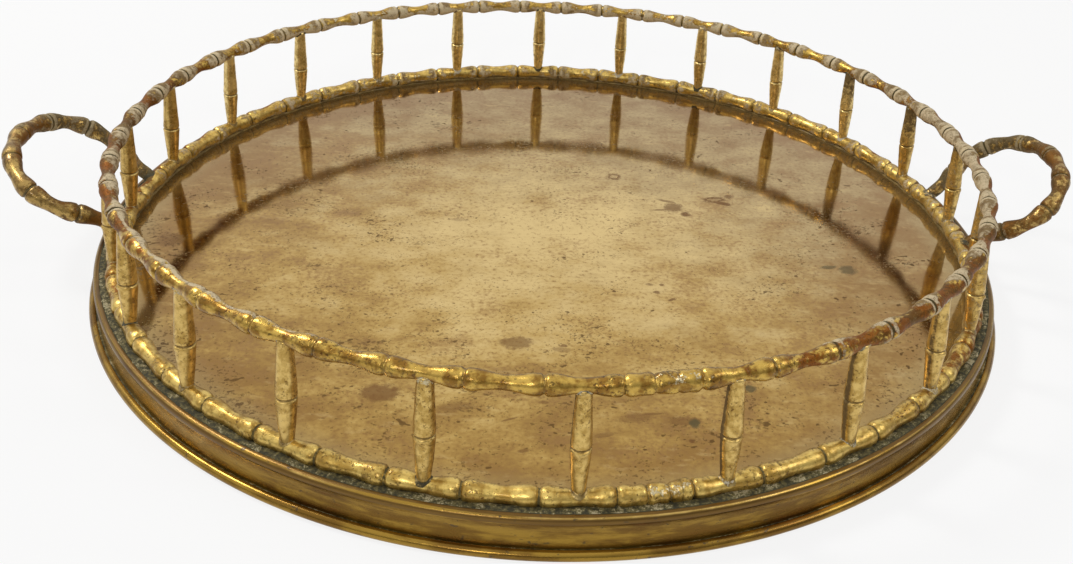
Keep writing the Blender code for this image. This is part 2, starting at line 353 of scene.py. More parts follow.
class Finish:
    """A finish of the tray: each kind gives its grains and its shader's sockets."""

    name: str
    grains: dict[str, Grain]

    def sockets(self, graph: Graph) -> dict:
        """Return the shader's values and links, by socket name."""
        raise NotImplementedError

    def material(self) -> Material:
        """Make the finish.

        Returns:
            The material.
        """
        material = bpy.data.materials.new(self.name)
        material.use_nodes = True
        graph = Graph(material.node_tree, self.grains)
        shader = graph.node("ShaderNodeBsdfPrincipled", None, self.sockets(graph))
        graph.node("ShaderNodeOutputMaterial", None, {"Surface": shader})
        return material


@dataclass(frozen=True)
class LayeredFinish(Finish):
    """A ground with coats laid on it one after another."""

    name: str
    ground: Colour
    metal: float
    roughness: float
    grains: dict[str, Grain]
    coats: tuple[Coat, ...]
    rough_mix: Mix
    relief_mix: Mix
    relief: float

    LEAST_ROUGH = 0.10

    def sockets(self, graph: Graph) -> dict:
        """Lay the coats.

        Args:
            graph: The material's graph.

        Returns:
            The shader's sockets.
        """
        colour = self.ground
        metallic = self.metal
        rough = graph.mixed(self.rough_mix, self.roughness)
        for coat in self.coats:
            shown = graph.coat(coat)
            colour = graph.blend(shown * coat.cover, colour, coat.colour)
            if coat.dulling:
                metallic = metallic - shown * coat.dulling
            if coat.roughening:
                rough = rough + shown * coat.roughening
        return {
            "Base Color": colour,
            "Metallic": metallic.held() if isinstance(metallic, Value) else metallic,
            "Roughness": rough.held(self.LEAST_ROUGH),
            "Normal": graph.bump(graph.mixed(self.relief_mix), self.relief),
        }


SKIRT_BRASS = LayeredFinish(
    name="skirt_brass_tarnished", ground=tint(160, 126, 48), metal=0.80, roughness=0.24,
    grains={
        "clouds": Grain(0.030, 4.0, (1.0, 1.0, 0.25)),
        "streaks": Grain(0.0024, 5.0, (9.0, 9.0, 1.0)),
        "mottle": Grain(0.0050, 5.0, (2.2, 2.2, 1.0), shift=(0.3, 0.5, 0.2)),
        "fine": Grain(0.0007),
        "specks": Grain(0.0013, 2.0, (2.0, 2.0, 1.0)),
    },
    coats=(
        Coat({"clouds": 1.1, "streaks": 1.6, "mottle": 1.0}, -0.22, 0.22, colour=tint(120, 88, 30)),
        # Painted shade: the shoulder darkened away from its highlight line.
        Coat(
            {Paint.LIP_AND_SHADE: 1.0, "clouds": 0.55, "streaks": 0.8, "mottle": 0.5},
            0.15, 0.80, cover=0.9, colour=tint(112, 84, 40),
        ),
        Coat(
            {Paint.TARNISH_AND_SHADE: 1.0, "clouds": 0.88, "streaks": 1.28, "mottle": 0.8},
            0.40, 0.90, cover=0.85, colour=tint(122, 72, 30),
        ),
        # Painted highlight and painted reflection: the pale colour that the cut paint lays along the crest
        # and on the skirt's sides.
        Coat({Paint.CUT: 1.0, "mottle": 0.9, "clouds": 0.9}, 0.35, 0.75, colour=tint(196, 164, 92)),
        # Painted shade: the dark colour that the oxide paint lays under the shoulder, above the bead and on
        # the shoulder at the sides.
        Coat(
            {Paint.OXIDE_AND_SHADE: 1.0, "streaks": 0.8},
            0.35, 0.75, cover=0.85, dulling=0.3, roughening=0.2, colour=tint(46, 36, 20),
        ),
        Coat(
            {Paint.GRIME: 1.0, "clouds": 0.6, "fine": 0.7},
            0.42, 0.62, dulling=0.7, roughening=0.5, colour=tint(58, 60, 42),
        ),
        Coat({"specks": 1.0}, 0.16, 0.22, cover=0.6, dulling=0.4, colour=tint(46, 36, 20)),
    ),
    rough_mix={"mottle": 0.16, "streaks": 0.16, Paint.LIP_AND_SHADE: 0.10},
    relief_mix={"streaks": 0.5, "mottle": 0.4, "fine": 0.2}, relief=0.00011,
)
VERDIGRIS_DARK = tint(50, 47, 26)
VERDIGRIS = LayeredFinish(
    name="verdigris_crust", ground=VERDIGRIS_DARK, metal=0.0, roughness=0.78,
    grains={"crumbs": Grain(0.0012, 5.0), "clouds": Grain(0.0060), "grit": Grain(0.0004)},
    coats=(
        Coat({"crumbs": 1.0, "clouds": 0.5}, -0.14, 0.12, colour=tint(112, 102, 60)),
        Coat(
            {"crumbs": 0.5, "grit": 0.5, "clouds": 0.5},
            0.05, 0.11, cover=0.8, colour=tint(196, 184, 148),
        ),
    ),
    rough_mix={"grit": 0.3}, relief_mix={"crumbs": 0.7, "grit": 0.4}, relief=0.0005,
)
SOFT_SOLDER = LayeredFinish(
    name="soft_solder", ground=tint(180, 154, 98), metal=0.9, roughness=0.36,
    grains={"lumps": Grain(0.0020, 4.0), "fine": Grain(0.0006)},
    coats=(
        Coat({"lumps": 1.0}, -0.14, 0.12, colour=tint(132, 106, 58)),
        Coat(
            {Paint.OXIDE_AND_SHADE: 0.22, "lumps": 0.5, "fine": 0.5},
            0.11, 0.18, cover=0.8, dulling=0.7, roughening=0.35,
            colour=tint(206, 198, 174),
        ),
        Coat(
            {Paint.GRIME: 1.0, "lumps": 0.9},
            0.45, 0.65, cover=0.9, dulling=0.6, roughening=0.3, colour=VERDIGRIS_DARK,
        ),
    ),
    rough_mix={}, relief_mix={"lumps": 0.7, "fine": 0.3}, relief=0.00022,
)


@dataclass(frozen=True)
class BambooBrass(Finish):
    """Cast bamboo brass: gold where rubbed by hands, red-brown, chalky or green elsewhere, with painted
    shade and glints.
    """

    name: str
    gold: Colour = tint(204, 168, 80)
    dull: Colour = tint(138, 100, 34)
    olive: Colour = tint(94, 74, 30)
    brown: Colour = tint(132, 74, 12)
    umber: Colour = tint(82, 46, 8)
    chalk: Colour = tint(216, 198, 162)
    ash: Colour = tint(136, 114, 80)
    verdigris: Colour = tint(78, 72, 46)
    tin_and_glints: Colour = tint(200, 186, 148)
    roughness: float = 0.30
    least_rough: float = 0.12
    mottle_roughness: float = 0.20
    shine: float = 0.18
    metal: float = 0.80
    coat: float = 0.22
    coat_roughness: float = 0.14
    mottle_size: float = 0.0036
    pit_size: float = 0.0006
    relief: float = 0.00024

    CLOUD_TIMES = 3.0
    HAMMER_TIMES = 0.45
    PIT_TIMES = 1.4
    DULL = Coat({"mottle": 1.0, "clouds": 0.3}, -0.14, 0.12)
    OLIVE = Coat({"hammer": 1.0, "clouds": 0.3}, 0.05, 0.20, cover=0.8)
    BROWN = Coat({"clouds": 1.0, "fine": 0.8, "mottle": 0.8}, -0.10, 0.08)
    # Rust colour where the tarnish paint is, both real tarnish and painted shade.
    TARNISH_AND_SHADE = Coat(
        {Paint.TARNISH_AND_SHADE: 1.0, "mottle": 0.9, "hammer": 0.7, "fine": 0.45},
        0.39, 0.63, cover=0.88, dulling=0.34, roughening=0.22,
    )
    FLECKS = Coat({"fine": 1.0, "hammer": 0.7}, 0.08, 0.24, cover=0.55)
    PITS = Coat({"pits": 1.0}, 0.10, 0.18, cover=0.75)
    PITTED = Coat({"clouds": 1.0}, -0.10, 0.10)
    POWDER = Coat(
        {Paint.LIP_AND_SHADE: 0.34, Paint.CUT: -0.25, "mottle": 1.0, "hammer": 0.5, "fine": 0.4, "clouds": 0.7},
        -0.04, 0.18,
    )
    CRUST = Coat(
        {Paint.OXIDE_AND_SHADE: 1.0, "mottle": 1.035, "hammer": 0.805, "fine": 0.5175, "clouds": -0.6},
        0.40, 0.62, cover=0.92, dulling=0.70, roughening=0.42,
    )
    DIRT = Coat({"fine": 1.0, "hammer": 1.0}, 0.02, 0.26, cover=0.60)
    GREEN = Coat(
        {Paint.GRIME: 1.0, "mottle": 0.54, "hammer": 0.42, "fine": 0.27},
        0.38, 0.66, cover=0.92, dulling=0.8, roughening=0.45,
    )
    CUT = Coat({Paint.CUT: 1.0}, 0.30, 0.80, cover=0.70)
    # Pale tin colour where the solder paint is: real solder, and painted glints along the back of the rails.
    SOLDER_AND_GLINTS = Coat({Paint.SOLDER_AND_GLINTS: 1.0, "mottle": 0.9, "hammer": 0.7, "fine": 0.45}, 0.50, 0.62)
    RELIEF_MIX = {"mottle": 0.50, "hammer": 0.24, "fine": 0.19}
    CRUST_LIFT = 0.30
    CRUST_GRIT = 0.35
    PIT_DEPTH = 0.25

    @property
    def grains(self) -> dict[str, Grain]:
        """Return the grains, in step with the sizes of the mottling and of the pits."""
        return {
            "clouds": Grain(self.mottle_size * self.CLOUD_TIMES, shift=(0.4, 0.2, 0.7)),
            "mottle": Grain(self.mottle_size, 5.0),
            "hammer": Grain(self.mottle_size * self.HAMMER_TIMES, shift=(0.2, 0.6, 0.1)),
            "fine": Grain(self.pit_size),
            "pits": Grain(self.pit_size * self.PIT_TIMES, 1.0, shift=(0.9, 0.3, 0.2)),
        }

    def sockets(self, graph: Graph) -> dict:
        """Lay the coats, from the bare brass to the solder.

        Args:
            graph: The material's graph.

        Returns:
            The shader's sockets.
        """
        tarnish, crust, green = (graph.coat(coat) for coat in (self.TARNISH_AND_SHADE, self.CRUST, self.GREEN))
        pits = graph.coat(self.PITS) * graph.coat(self.PITTED)
        in_cuts = graph.coat(self.CUT) * self.CUT.cover

        colour = graph.blend(graph.coat(self.DULL), self.gold, self.dull)
        colour = graph.blend(graph.coat(self.OLIVE) * self.OLIVE.cover, colour, self.olive)
        rust = graph.blend(graph.coat(self.BROWN), self.umber, self.brown)
        colour = graph.blend(tarnish * self.TARNISH_AND_SHADE.cover, colour, rust)
        flecks = graph.coat(self.FLECKS) * tarnish
        colour = graph.blend(flecks * self.FLECKS.cover, colour, self.ash)
        colour = graph.blend(pits * self.PITS.cover, colour, self.umber)
        powder = graph.blend(graph.coat(self.POWDER), self.ash, self.chalk)
        colour = graph.blend(crust * self.CRUST.cover, colour, powder)
        colour = graph.blend(crust * graph.coat(self.DIRT) * self.DIRT.cover, colour, self.umber)
        colour = graph.blend((green * self.GREEN.cover).most(in_cuts), colour, self.verdigris)
        # Solder, and the painted glints along the back of the rails, in the pale tin colour.
        colour = graph.blend(graph.coat(self.SOLDER_AND_GLINTS), colour, self.tin_and_glints)

        covered = tarnish.most(crust).most(green)
        dulled = (tarnish * self.TARNISH_AND_SHADE.dulling).most(crust * self.CRUST.dulling)
        dulled = dulled.most(green * self.GREEN.dulling)
        rough = graph.mixed({"mottle": self.mottle_roughness}, self.roughness)
        rough = rough + tarnish * self.TARNISH_AND_SHADE.roughening
        rough = rough + crust * self.CRUST.roughening + green * self.GREEN.roughening
        lift = crust * (self.CRUST_LIFT + graph.grains["fine"] * self.CRUST_GRIT)
        height = graph.mixed(self.RELIEF_MIX) + lift - pits * self.PIT_DEPTH
        return {
            "Base Color": colour,
            "Metallic": (self.metal - dulled).held(),
            "Specular IOR Level": self.shine,
            "Coat Weight": (self.coat - covered * self.coat).held(),
            "Coat Roughness": self.coat_roughness,
            "Roughness": rough.held(self.least_rough),
            "Normal": graph.bump(height, self.relief),
        }


RAIL_BRASS = BambooBrass("rail_brass_worn")
LOW_RAIL_BRASS = BambooBrass(
    "low_rail_brass_satin",
    gold=tint(224, 192, 106), dull=tint(174, 138, 62), olive=tint(126, 100, 46),
    verdigris=tint(88, 80, 52), roughness=0.34,
)
BALUSTER_BRASS = BambooBrass(
    "baluster_brass_tan",
    gold=tint(220, 188, 114), dull=tint(182, 148, 78), olive=tint(132, 104, 50),
    brown=tint(138, 96, 46), umber=tint(106, 74, 36), roughness=0.34, chalk=tint(206, 186, 140),
    ash=tint(160, 136, 88), verdigris=tint(98, 78, 48), coat=0.0, mottle_size=0.0022,
    pit_size=0.0005, relief=0.00016,
)
PALE_BALUSTER_BRASS = replace(
    BALUSTER_BRASS,
    name="baluster_brass_pale", gold=tint(240, 214, 146), dull=tint(200, 170, 102),
    olive=tint(150, 122, 68),
)
HANDLE_BRASS = BambooBrass(
    "handle_brass_brown",
    gold=tint(184, 152, 86), dull=tint(130, 102, 54), brown=tint(124, 80, 26),
    umber=tint(88, 60, 22), mottle_size=0.0040, chalk=tint(168, 152, 118), ash=tint(108, 94, 64),
)
SEAM_BRASS = BambooBrass(
    "rail_seam_brown",
    gold=tint(150, 126, 74), dull=tint(114, 94, 54), roughness=0.60, metal=0.3,
)
WIRE_BRASS = BambooBrass("wire_brass_dull", gold=tint(170, 132, 66), dull=tint(128, 92, 42))


@dataclass(frozen=True)
class Mark:
    """A stain on the deck, placed by the pixel of the photograph where its middle shows."""

    across: float
    down: float
    length: float
    width: float
    turn: float = 0.0
    strength: float = 1.0
    hollow: bool = False
    sooty: bool = False


@dataclass(frozen=True)
class DeckBrass(Finish):
    """The polished floor of the tray, browned by age, brushed, specked and stained, and painted paler round
    its middle as a painted glow.
    """

    marks: tuple[tuple[Mark, Vector], ...]
    name: str = "deck_brass_polished"
    light: Colour = tint(216, 188, 127)
    khaki: Colour = tint(174, 149, 102)
    gold: Colour = tint(184, 150, 82)
    brown: Colour = tint(140, 104, 56)
    rose: Colour = tint(152, 116, 74)
    speck: Colour = tint(88, 60, 12)
    stain: Colour = tint(108, 68, 20)
    soot: Colour = tint(86, 76, 42)
    rim: Colour = tint(170, 146, 92)
    crumb: Colour = tint(74, 72, 50)
    roughness: float = 0.060
    least_rough: float = 0.05
    relief: float = 0.000009
    glow_centre: tuple[float, float] = (0.006, -0.014)
    glow_reach: float = 0.102

    # Its grains, from the broad clouds to the ragged edges of the stains.
    grains = {
        "clouds": Grain(0.060, 4.0, (1.4, 1.0, 1.0)),
        "patches": Grain(0.014, 5.0, (1.3, 1.0, 1.0), shift=(0.3, 0.1, 0.0)),
        "blush": Grain(0.020, 5.0, (1.1, 1.0, 1.0), shift=(0.8, 0.6, 0.0)),
        "brushed": Grain(0.0008, 4.0, (9.0, 1.0, 1.0), turn=4.0),
        "scuffs": Grain(0.0034, 4.0, (2.4, 1.0, 1.0), turn=-7.0, shift=(0.1, 0.2, 0.0)),
        "freckles": Grain(0.0016, 4.0, shift=(0.6, 0.3, 0.0)),
        "grubby": Grain(0.016, 3.0, (1.6, 1.0, 1.0), shift=(0.5, 0.4, 0.0)),
        "dust": Grain(0.0010, 1.0, (1.1, 1.0, 1.0), turn=2.0, shift=(0.4, 0.9, 0.0)),
        "dots": Grain(0.0022, 1.0, (1.3, 1.0, 1.0), turn=6.0),
        "blots": Grain(0.0042, 4.0, (1.2, 1.0, 1.0), turn=3.0, shift=(0.7, 0.0, 0.0)),
        "ragged": Grain(0.0020, 5.0, shift=(0.2, 0.9, 0.0)),
    }
    # What the deck's broad shades are mixed of, on top of how far a point is from the glow centre, round
    # which the deck is painted paler as a painted glow.
    CLOUDY_MIX = {"clouds": 1.2, "patches": 1.9, "freckles": 0.8}
    WARM_MIX = {"patches": 1.2, "blush": 0.8}
    WARM_LEVEL = 0.5
    WARM_ACROSS = 1.8
    WARM_ALONG = 3.4
    AWAY_SHARE = 0.88
    AWAY_START = 0.22
    WARM_IN_BROWN = 0.26
    GRUBBY_MIX = {"grubby": 6.0}
    GRUBBY_LEVEL = 0.5
    WARM_IN_GRUBBY = 0.55
    AWAY_IN_GRUBBY = 0.2
    # How much a grubby place helps each kind of speck.
    GRUBBY_SHARES = (0.09, 0.10, 0.08)
    GOLD = Coat({}, 0.15, 0.85)
    AGED = Coat({}, -0.40, 0.80)
    BROWNED = Coat({}, 0.50, 1.50, cover=0.86)
    ROSY = Coat({"blush": 1.0, "freckles": 0.8, "patches": 0.5}, -0.02, 0.24, cover=0.42)
    BRUSHED = Coat({"brushed": 1.0}, 0.03, 0.22, cover=0.22)
    SCUFFED = Coat({"scuffs": 1.0}, 0.06, 0.22, cover=0.25)
    FRECKLED = Coat({"freckles": 1.0}, 0.04, 0.22, cover=0.58)
    RIM = Coat({}, 0.150, 0.165, cover=0.65, dulling=0.35)
    SPECKS = (
        Coat({"dust": 1.0}, 0.165, 0.225, cover=0.7),
        Coat({"dots": 1.0}, 0.215, 0.285),
        Coat({"blots": 1.0}, 0.185, 0.30, cover=0.6),
    )
    DIRT_COVER = 0.80
    DIRT_DULLING = 0.15
    DIRT_LIFT = 0.4
    STAIN_COVER = 0.80
    SOOT_COVER = 0.86
    STAIN_DULLING = 0.25
    GRIME = Coat({Paint.GRIME: 1.0, "patches": 0.8, "dots": 0.4}, 0.45, 0.72, dulling=0.7)
    HAZE = Coat({}, -0.5, 0.7, roughening=0.060)
    BRUSH_LINES = Coat({"brushed": 1.0}, 0.0, 0.3, roughening=0.05)
    DIRTY_ROUGHENING = 0.34
    RELIEF_MIX = {"brushed": 0.5, "scuffs": 0.4, "freckles": 0.3}
    STAIN_EDGE = (1.35, 0.70)
    STAIN_HEART = (0.70, 0.40)
    STAIN_RAGGED = 1.5
    STAIN_HOLLOW = 0.8

    def sockets(self, graph: Graph) -> dict:
        """Lay the broad shades, the fine lines, the specks and the stains.

        Args:
            graph: The material's graph.

        Returns:
            The shader's sockets.
        """
        across = graph.node("ShaderNodeSeparateXYZ", None, {"Vector": graph.place()}, "X")
        along = across.other("Y")
        aside, ahead = across - self.glow_centre[0], along - self.glow_centre[1]
        away = (aside * aside + ahead * ahead) ** 0.5 / self.glow_reach
        cloudy = graph.mixed(self.CLOUDY_MIX)
        dulled = away * self.AWAY_SHARE - self.AWAY_START + cloudy
        warm = self.WARM_LEVEL - across * self.WARM_ACROSS - along * self.WARM_ALONG
        warm = graph.mixed(self.WARM_MIX, warm)

        # Painted glow: the light colour round the glow centre, turning khaki, gold and brown further out.
        aged = graph.blend(graph.coat(self.GOLD, warm), self.khaki, self.gold)
        colour = graph.blend(graph.coat(self.AGED, dulled), self.light, aged)
        browned = graph.coat(self.BROWNED, dulled + warm * self.WARM_IN_BROWN)
        colour = graph.blend(browned * self.BROWNED.cover, colour, self.brown)
        lines = (
            (self.ROSY, self.rose),
            (self.BRUSHED, self.brown),
            (self.SCUFFED, self.light),
            (self.FRECKLED, self.brown),
        )
        for coat, shade in lines:
            colour = graph.blend(graph.coat(coat) * coat.cover, colour, shade)
        rim = graph.coat(self.RIM, (across * across + along * along) ** 0.5)
        colour = graph.blend(rim * self.RIM.cover, colour, self.rim)

        grubby = warm * self.WARM_IN_GRUBBY + away * self.AWAY_IN_GRUBBY - self.GRUBBY_LEVEL
        grubby = graph.mixed(self.GRUBBY_MIX, grubby)
        dust, dots, blots = (
            graph.coat(coat, grubby * share) * coat.cover
            for coat, share in zip(self.SPECKS, self.GRUBBY_SHARES)
        )
        dirt = dots.most(blots).most(dust)
        colour = graph.blend(dirt * self.DIRT_COVER, colour, self.speck)

        rusty, sooty = (self._stains(graph, kind) for kind in (False, True))
        colour = graph.blend(rusty * self.STAIN_COVER, colour, self.stain)
        colour = graph.blend(sooty * self.SOOT_COVER, colour, self.soot)
        stained = rusty.most(sooty)
        grime = graph.coat(self.GRIME)
        colour = graph.blend(grime, colour, self.crumb)

        dulling = grime * self.GRIME.dulling + stained * self.STAIN_DULLING
        dulling = dulling + dirt * self.DIRT_DULLING + rim * self.RIM.dulling
        rough = self.roughness + graph.coat(self.HAZE, cloudy) * self.HAZE.roughening
        rough = rough + graph.coat(self.BRUSH_LINES) * self.BRUSH_LINES.roughening
        rough = rough + dirt.most(stained).most(grime) * self.DIRTY_ROUGHENING
        height = graph.mixed(self.RELIEF_MIX, dirt * self.DIRT_LIFT)
        return {
            "Base Color": colour,
            "Metallic": (1.0 - dulling).held(),
            "Roughness": rough.held(self.least_rough),
            "Normal": graph.bump(height, self.relief),
        }

    def _stains(self, graph: Graph, sooty: bool) -> Value:
        """Return how stained each point is.

        Args:
            graph: The material's graph.
            sooty: Whether the grey stains are wanted, or else the rusty ones.

        Returns:
            The stain's strength.
        """
        total = None
        for mark, spot in self.marks:
            if mark.sooty is not sooty:
                continue
            local = graph.laid(spot, mark.turn, (mark.length / 2.0, mark.width / 2.0, 1.0))
            away = graph.node("ShaderNodeVectorMath", {"operation": "LENGTH"}, {0: local}, "Value")
            away = graph.mixed({"ragged": self.STAIN_RAGGED}, away)
            shape = away.rise(*self.STAIN_EDGE)
            if mark.hollow:
                shape = shape * (1.0 - away.rise(*self.STAIN_HEART) * self.STAIN_HOLLOW)
            shape = shape * mark.strength
            total = shape if total is None else total.most(shape)
        return total


def smooth_noise(points: Array, size: float, seed: int) -> Array:
    """Return smooth noise between about -1 and 1 at each point.

    Args:
        points: Points, the last axis being X, Y and Z.
        size: The size of the noise's swells.
        seed: A whole number that picks where the noise is read.

    Returns:
        One value for each point.
    """
    flat = points.reshape(-1, 3) / size + NOISE_STEP * (seed + 1)
    values = [noise.noise(Vector(point)) for point in flat]
    return np.array(values).reshape(points.shape[:-1])


def eased(values: Array | float, low: float, high: float) -> Array:
    """Return a smooth rise from 0 at low to 1 at high."""
    share = np.clip((values - low) / (high - low), 0.0, 1.0)
    return share * share * (3.0 - 2.0 * share)


def full_turn(count: int) -> Array:
    """Return that many even angles round a circle, in radians."""
    return np.linspace(0.0, math.tau, count, endpoint=False)


def outward(turns: Array | float) -> Array:
    """Return the level unit vectors that point out at the azimuths given, in radians."""
    return np.stack([np.cos(turns), np.sin(turns), np.zeros_like(turns)], axis=-1)


@dataclass(frozen=True)
class Spread:
    """A stretch of angles, whole at its centre and faded out where an angle is reach away from it.

    A gain over 1 makes more of it whole.
    """

    centre: float | Array
    reach: float | Array
    gain: float = 1.0

    def over(self, turns: Array | float) -> Array:
        """Return how much of each angle it covers, from 0 to 1."""
        away = np.abs((turns - self.centre + FULL_TURN / 2.0) % FULL_TURN - FULL_TURN / 2.0)
        return np.minimum(self.gain * eased(1.0 - away / self.reach, 0.0, 1.0), 1.0)


def cut_lips(cut: Array) -> Array:
    """Return 1 on the lips of a cut, and 0 in the cut and well away from it."""
    return np.clip(eased(cut, *LIPS_START) - eased(cut, *LIPS_END), 0.0, 1.0)



def bezier(controls: Sequence[Sequence[float]], count: int) -> Array:
    """Return points along a cubic curve.

    Args:
        controls: Its four control points.
        count: How many points.

    Returns:
        The points.
    """
    first, second, third, fourth = [np.array(control) for control in controls]
    t = np.linspace(0.0, 1.0, count)[:, None]
    near_part = (1.0 - t) ** 3 * first + 3.0 * (1.0 - t) ** 2 * t * second
    return near_part + 3.0 * (1.0 - t) * t**2 * third + t**3 * fourth


def arc(centre: Sequence[float], radius: float, start: float, end: float, count: int) -> Array:
    """Return points of an arc in the (radius, height) plane.

    Args:
        centre: The arc's centre.
        radius: Its radius.
        start: Its first angle.
        end: Its last angle.
        count: How many points.

    Returns:
        The points.
    """
    turns = np.radians(np.linspace(start, end, count))
    return np.array(centre) + radius * np.column_stack([np.cos(turns), np.sin(turns)])


def grid_faces(rows: int, columns: int, rows_close: bool) -> list[tuple[int, ...]]:
    """Return the quads of a grid of points whose columns close into a ring.

    Args:
        rows: How many rows of points.
        columns: How many points in a row.
        rows_close: Whether the last row joins the first.

    Returns:
        The faces.
    """
    row = np.arange(rows if rows_close else rows - 1)[:, None]
    column = np.arange(columns)[None, :]
    next_row = (row + 1) % rows
    next_column = (column + 1) % columns
    corners = (
        row * columns + column,
        row * columns + next_column,
        next_row * columns + next_column,
        next_row * columns + column,
    )
    return [tuple(face) for face in np.stack(corners, axis=-1).reshape(-1, 4).tolist()]


@dataclass
class Skin:
    """The points, faces and paint of one mesh, before it becomes an object."""

    points: Array
    faces: list[tuple[int, ...]]
    paint: Painting = field(default_factory=dict)
    finishes: Array | None = None

    @classmethod
    def tube(
        cls, rings: Array, paint: Painting, closed: bool = False
    ) -> "Skin":
        """Return a tube through rings of points, closed on itself or capped at both ends.

        Args:
            rings: Points, as (ring, side, 3).
            paint: Paint, as (ring, side).
            closed: Whether the last ring joins the first.

        Returns:
            The skin.
        """
        count, sides, _ = rings.shape
        faces = grid_faces(count, sides, closed)
        points = rings.reshape(-1, 3)
        flat = {key: np.broadcast_to(value, (count, sides)).reshape(-1) for key, value in paint.items()}
        if closed:
            return cls(points, faces, flat)
        first_cap = len(points)
        points = np.vstack([points, rings[0].mean(axis=0), rings[-1].mean(axis=0)])
        last_row = (count - 1) * sides
        for side in range(sides):
            after = (side + 1) % sides
            faces.append((first_cap, after, side))
            faces.append((first_cap + 1, last_row + side, last_row + after))
        capped = {key: np.append(value, [value[0], value[-1]]) for key, value in flat.items()}
        return cls(points, faces, capped)

    def build(
        self,
        name: str, materials: Sequence[Material], slot: Slot,
        replaced: Sequence[str] = (),
    ) -> bpy.types.Object:
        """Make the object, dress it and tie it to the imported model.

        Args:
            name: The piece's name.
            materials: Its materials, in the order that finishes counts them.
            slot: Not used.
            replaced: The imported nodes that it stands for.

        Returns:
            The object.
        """
        mesh = bpy.data.meshes.new(name)
        mesh.from_pydata(self.points.tolist(), [], self.faces)
        for paint, values in self.paint.items():
            layer = mesh.attributes.new(paint.value, "FLOAT", "POINT")
            layer.data.foreach_set("value", values.astype(np.float32))
        for material in materials:
            mesh.materials.append(material)
        if self.finishes is not None:
            mesh.polygons.foreach_set("material_index", self.finishes.astype(np.int32))
        shape = bmesh.new()
        shape.from_mesh(mesh)
        bmesh.ops.recalc_face_normals(shape, faces=shape.faces)
        shape.to_mesh(mesh)
        shape.free()
        mesh.shade_smooth()
        piece = bpy.data.objects.new(name, mesh)
        bpy.context.scene.collection.objects.link(piece)
        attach(piece, ROOT_BODY)
        if replaced:
            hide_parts(*replaced)
        LOG.info("%s: %d points, %d faces", name, len(self.points), len(self.faces))
        return piece


@dataclass(frozen=True)
class GallerySizes:
    """Where the gallery's rails run and how it is divided."""

    lower_radius: float = 0.1665
    upper_radius: float = 0.1640
    lower_height: float = 0.0151
    upper_height: float = 0.0516
    baluster_count: int = 24
    internodes_per_bay: int = 2
    closing_internode: int = 37
    closing_node_shares: tuple[float, ...] = (0.39, 0.69)

    @property
    def bay(self) -> float:
        """Return the turn from one baluster to the next."""
        return FULL_TURN / self.baluster_count

    @property
    def internode(self) -> float:
        """Return the turn from one node of a rail to the next."""
        return self.bay / self.internodes_per_bay

    @property
    def joint_start(self) -> float:
        """Return the azimuth where the long run of a rail ends and its closing length starts."""
        return (self.closing_internode - 0.5) * self.internode

    def run_nodes(self) -> Array:
        """Return the azimuths of the long run's nodes.

        Returns:
            The azimuths, from the closing length's end round to its start.
        """
        count = self.baluster_count * self.internodes_per_bay - 1
        first = self.joint_start + self.internode - FULL_TURN
        return first + self.internode * np.arange(count + 1)

    def closing_nodes(self) -> Array:
        """Return the azimuths of the closing length's nodes."""
        shares = np.array((0.0, *self.closing_node_shares, 1.0))
        return self.joint_start + shares * self.internode


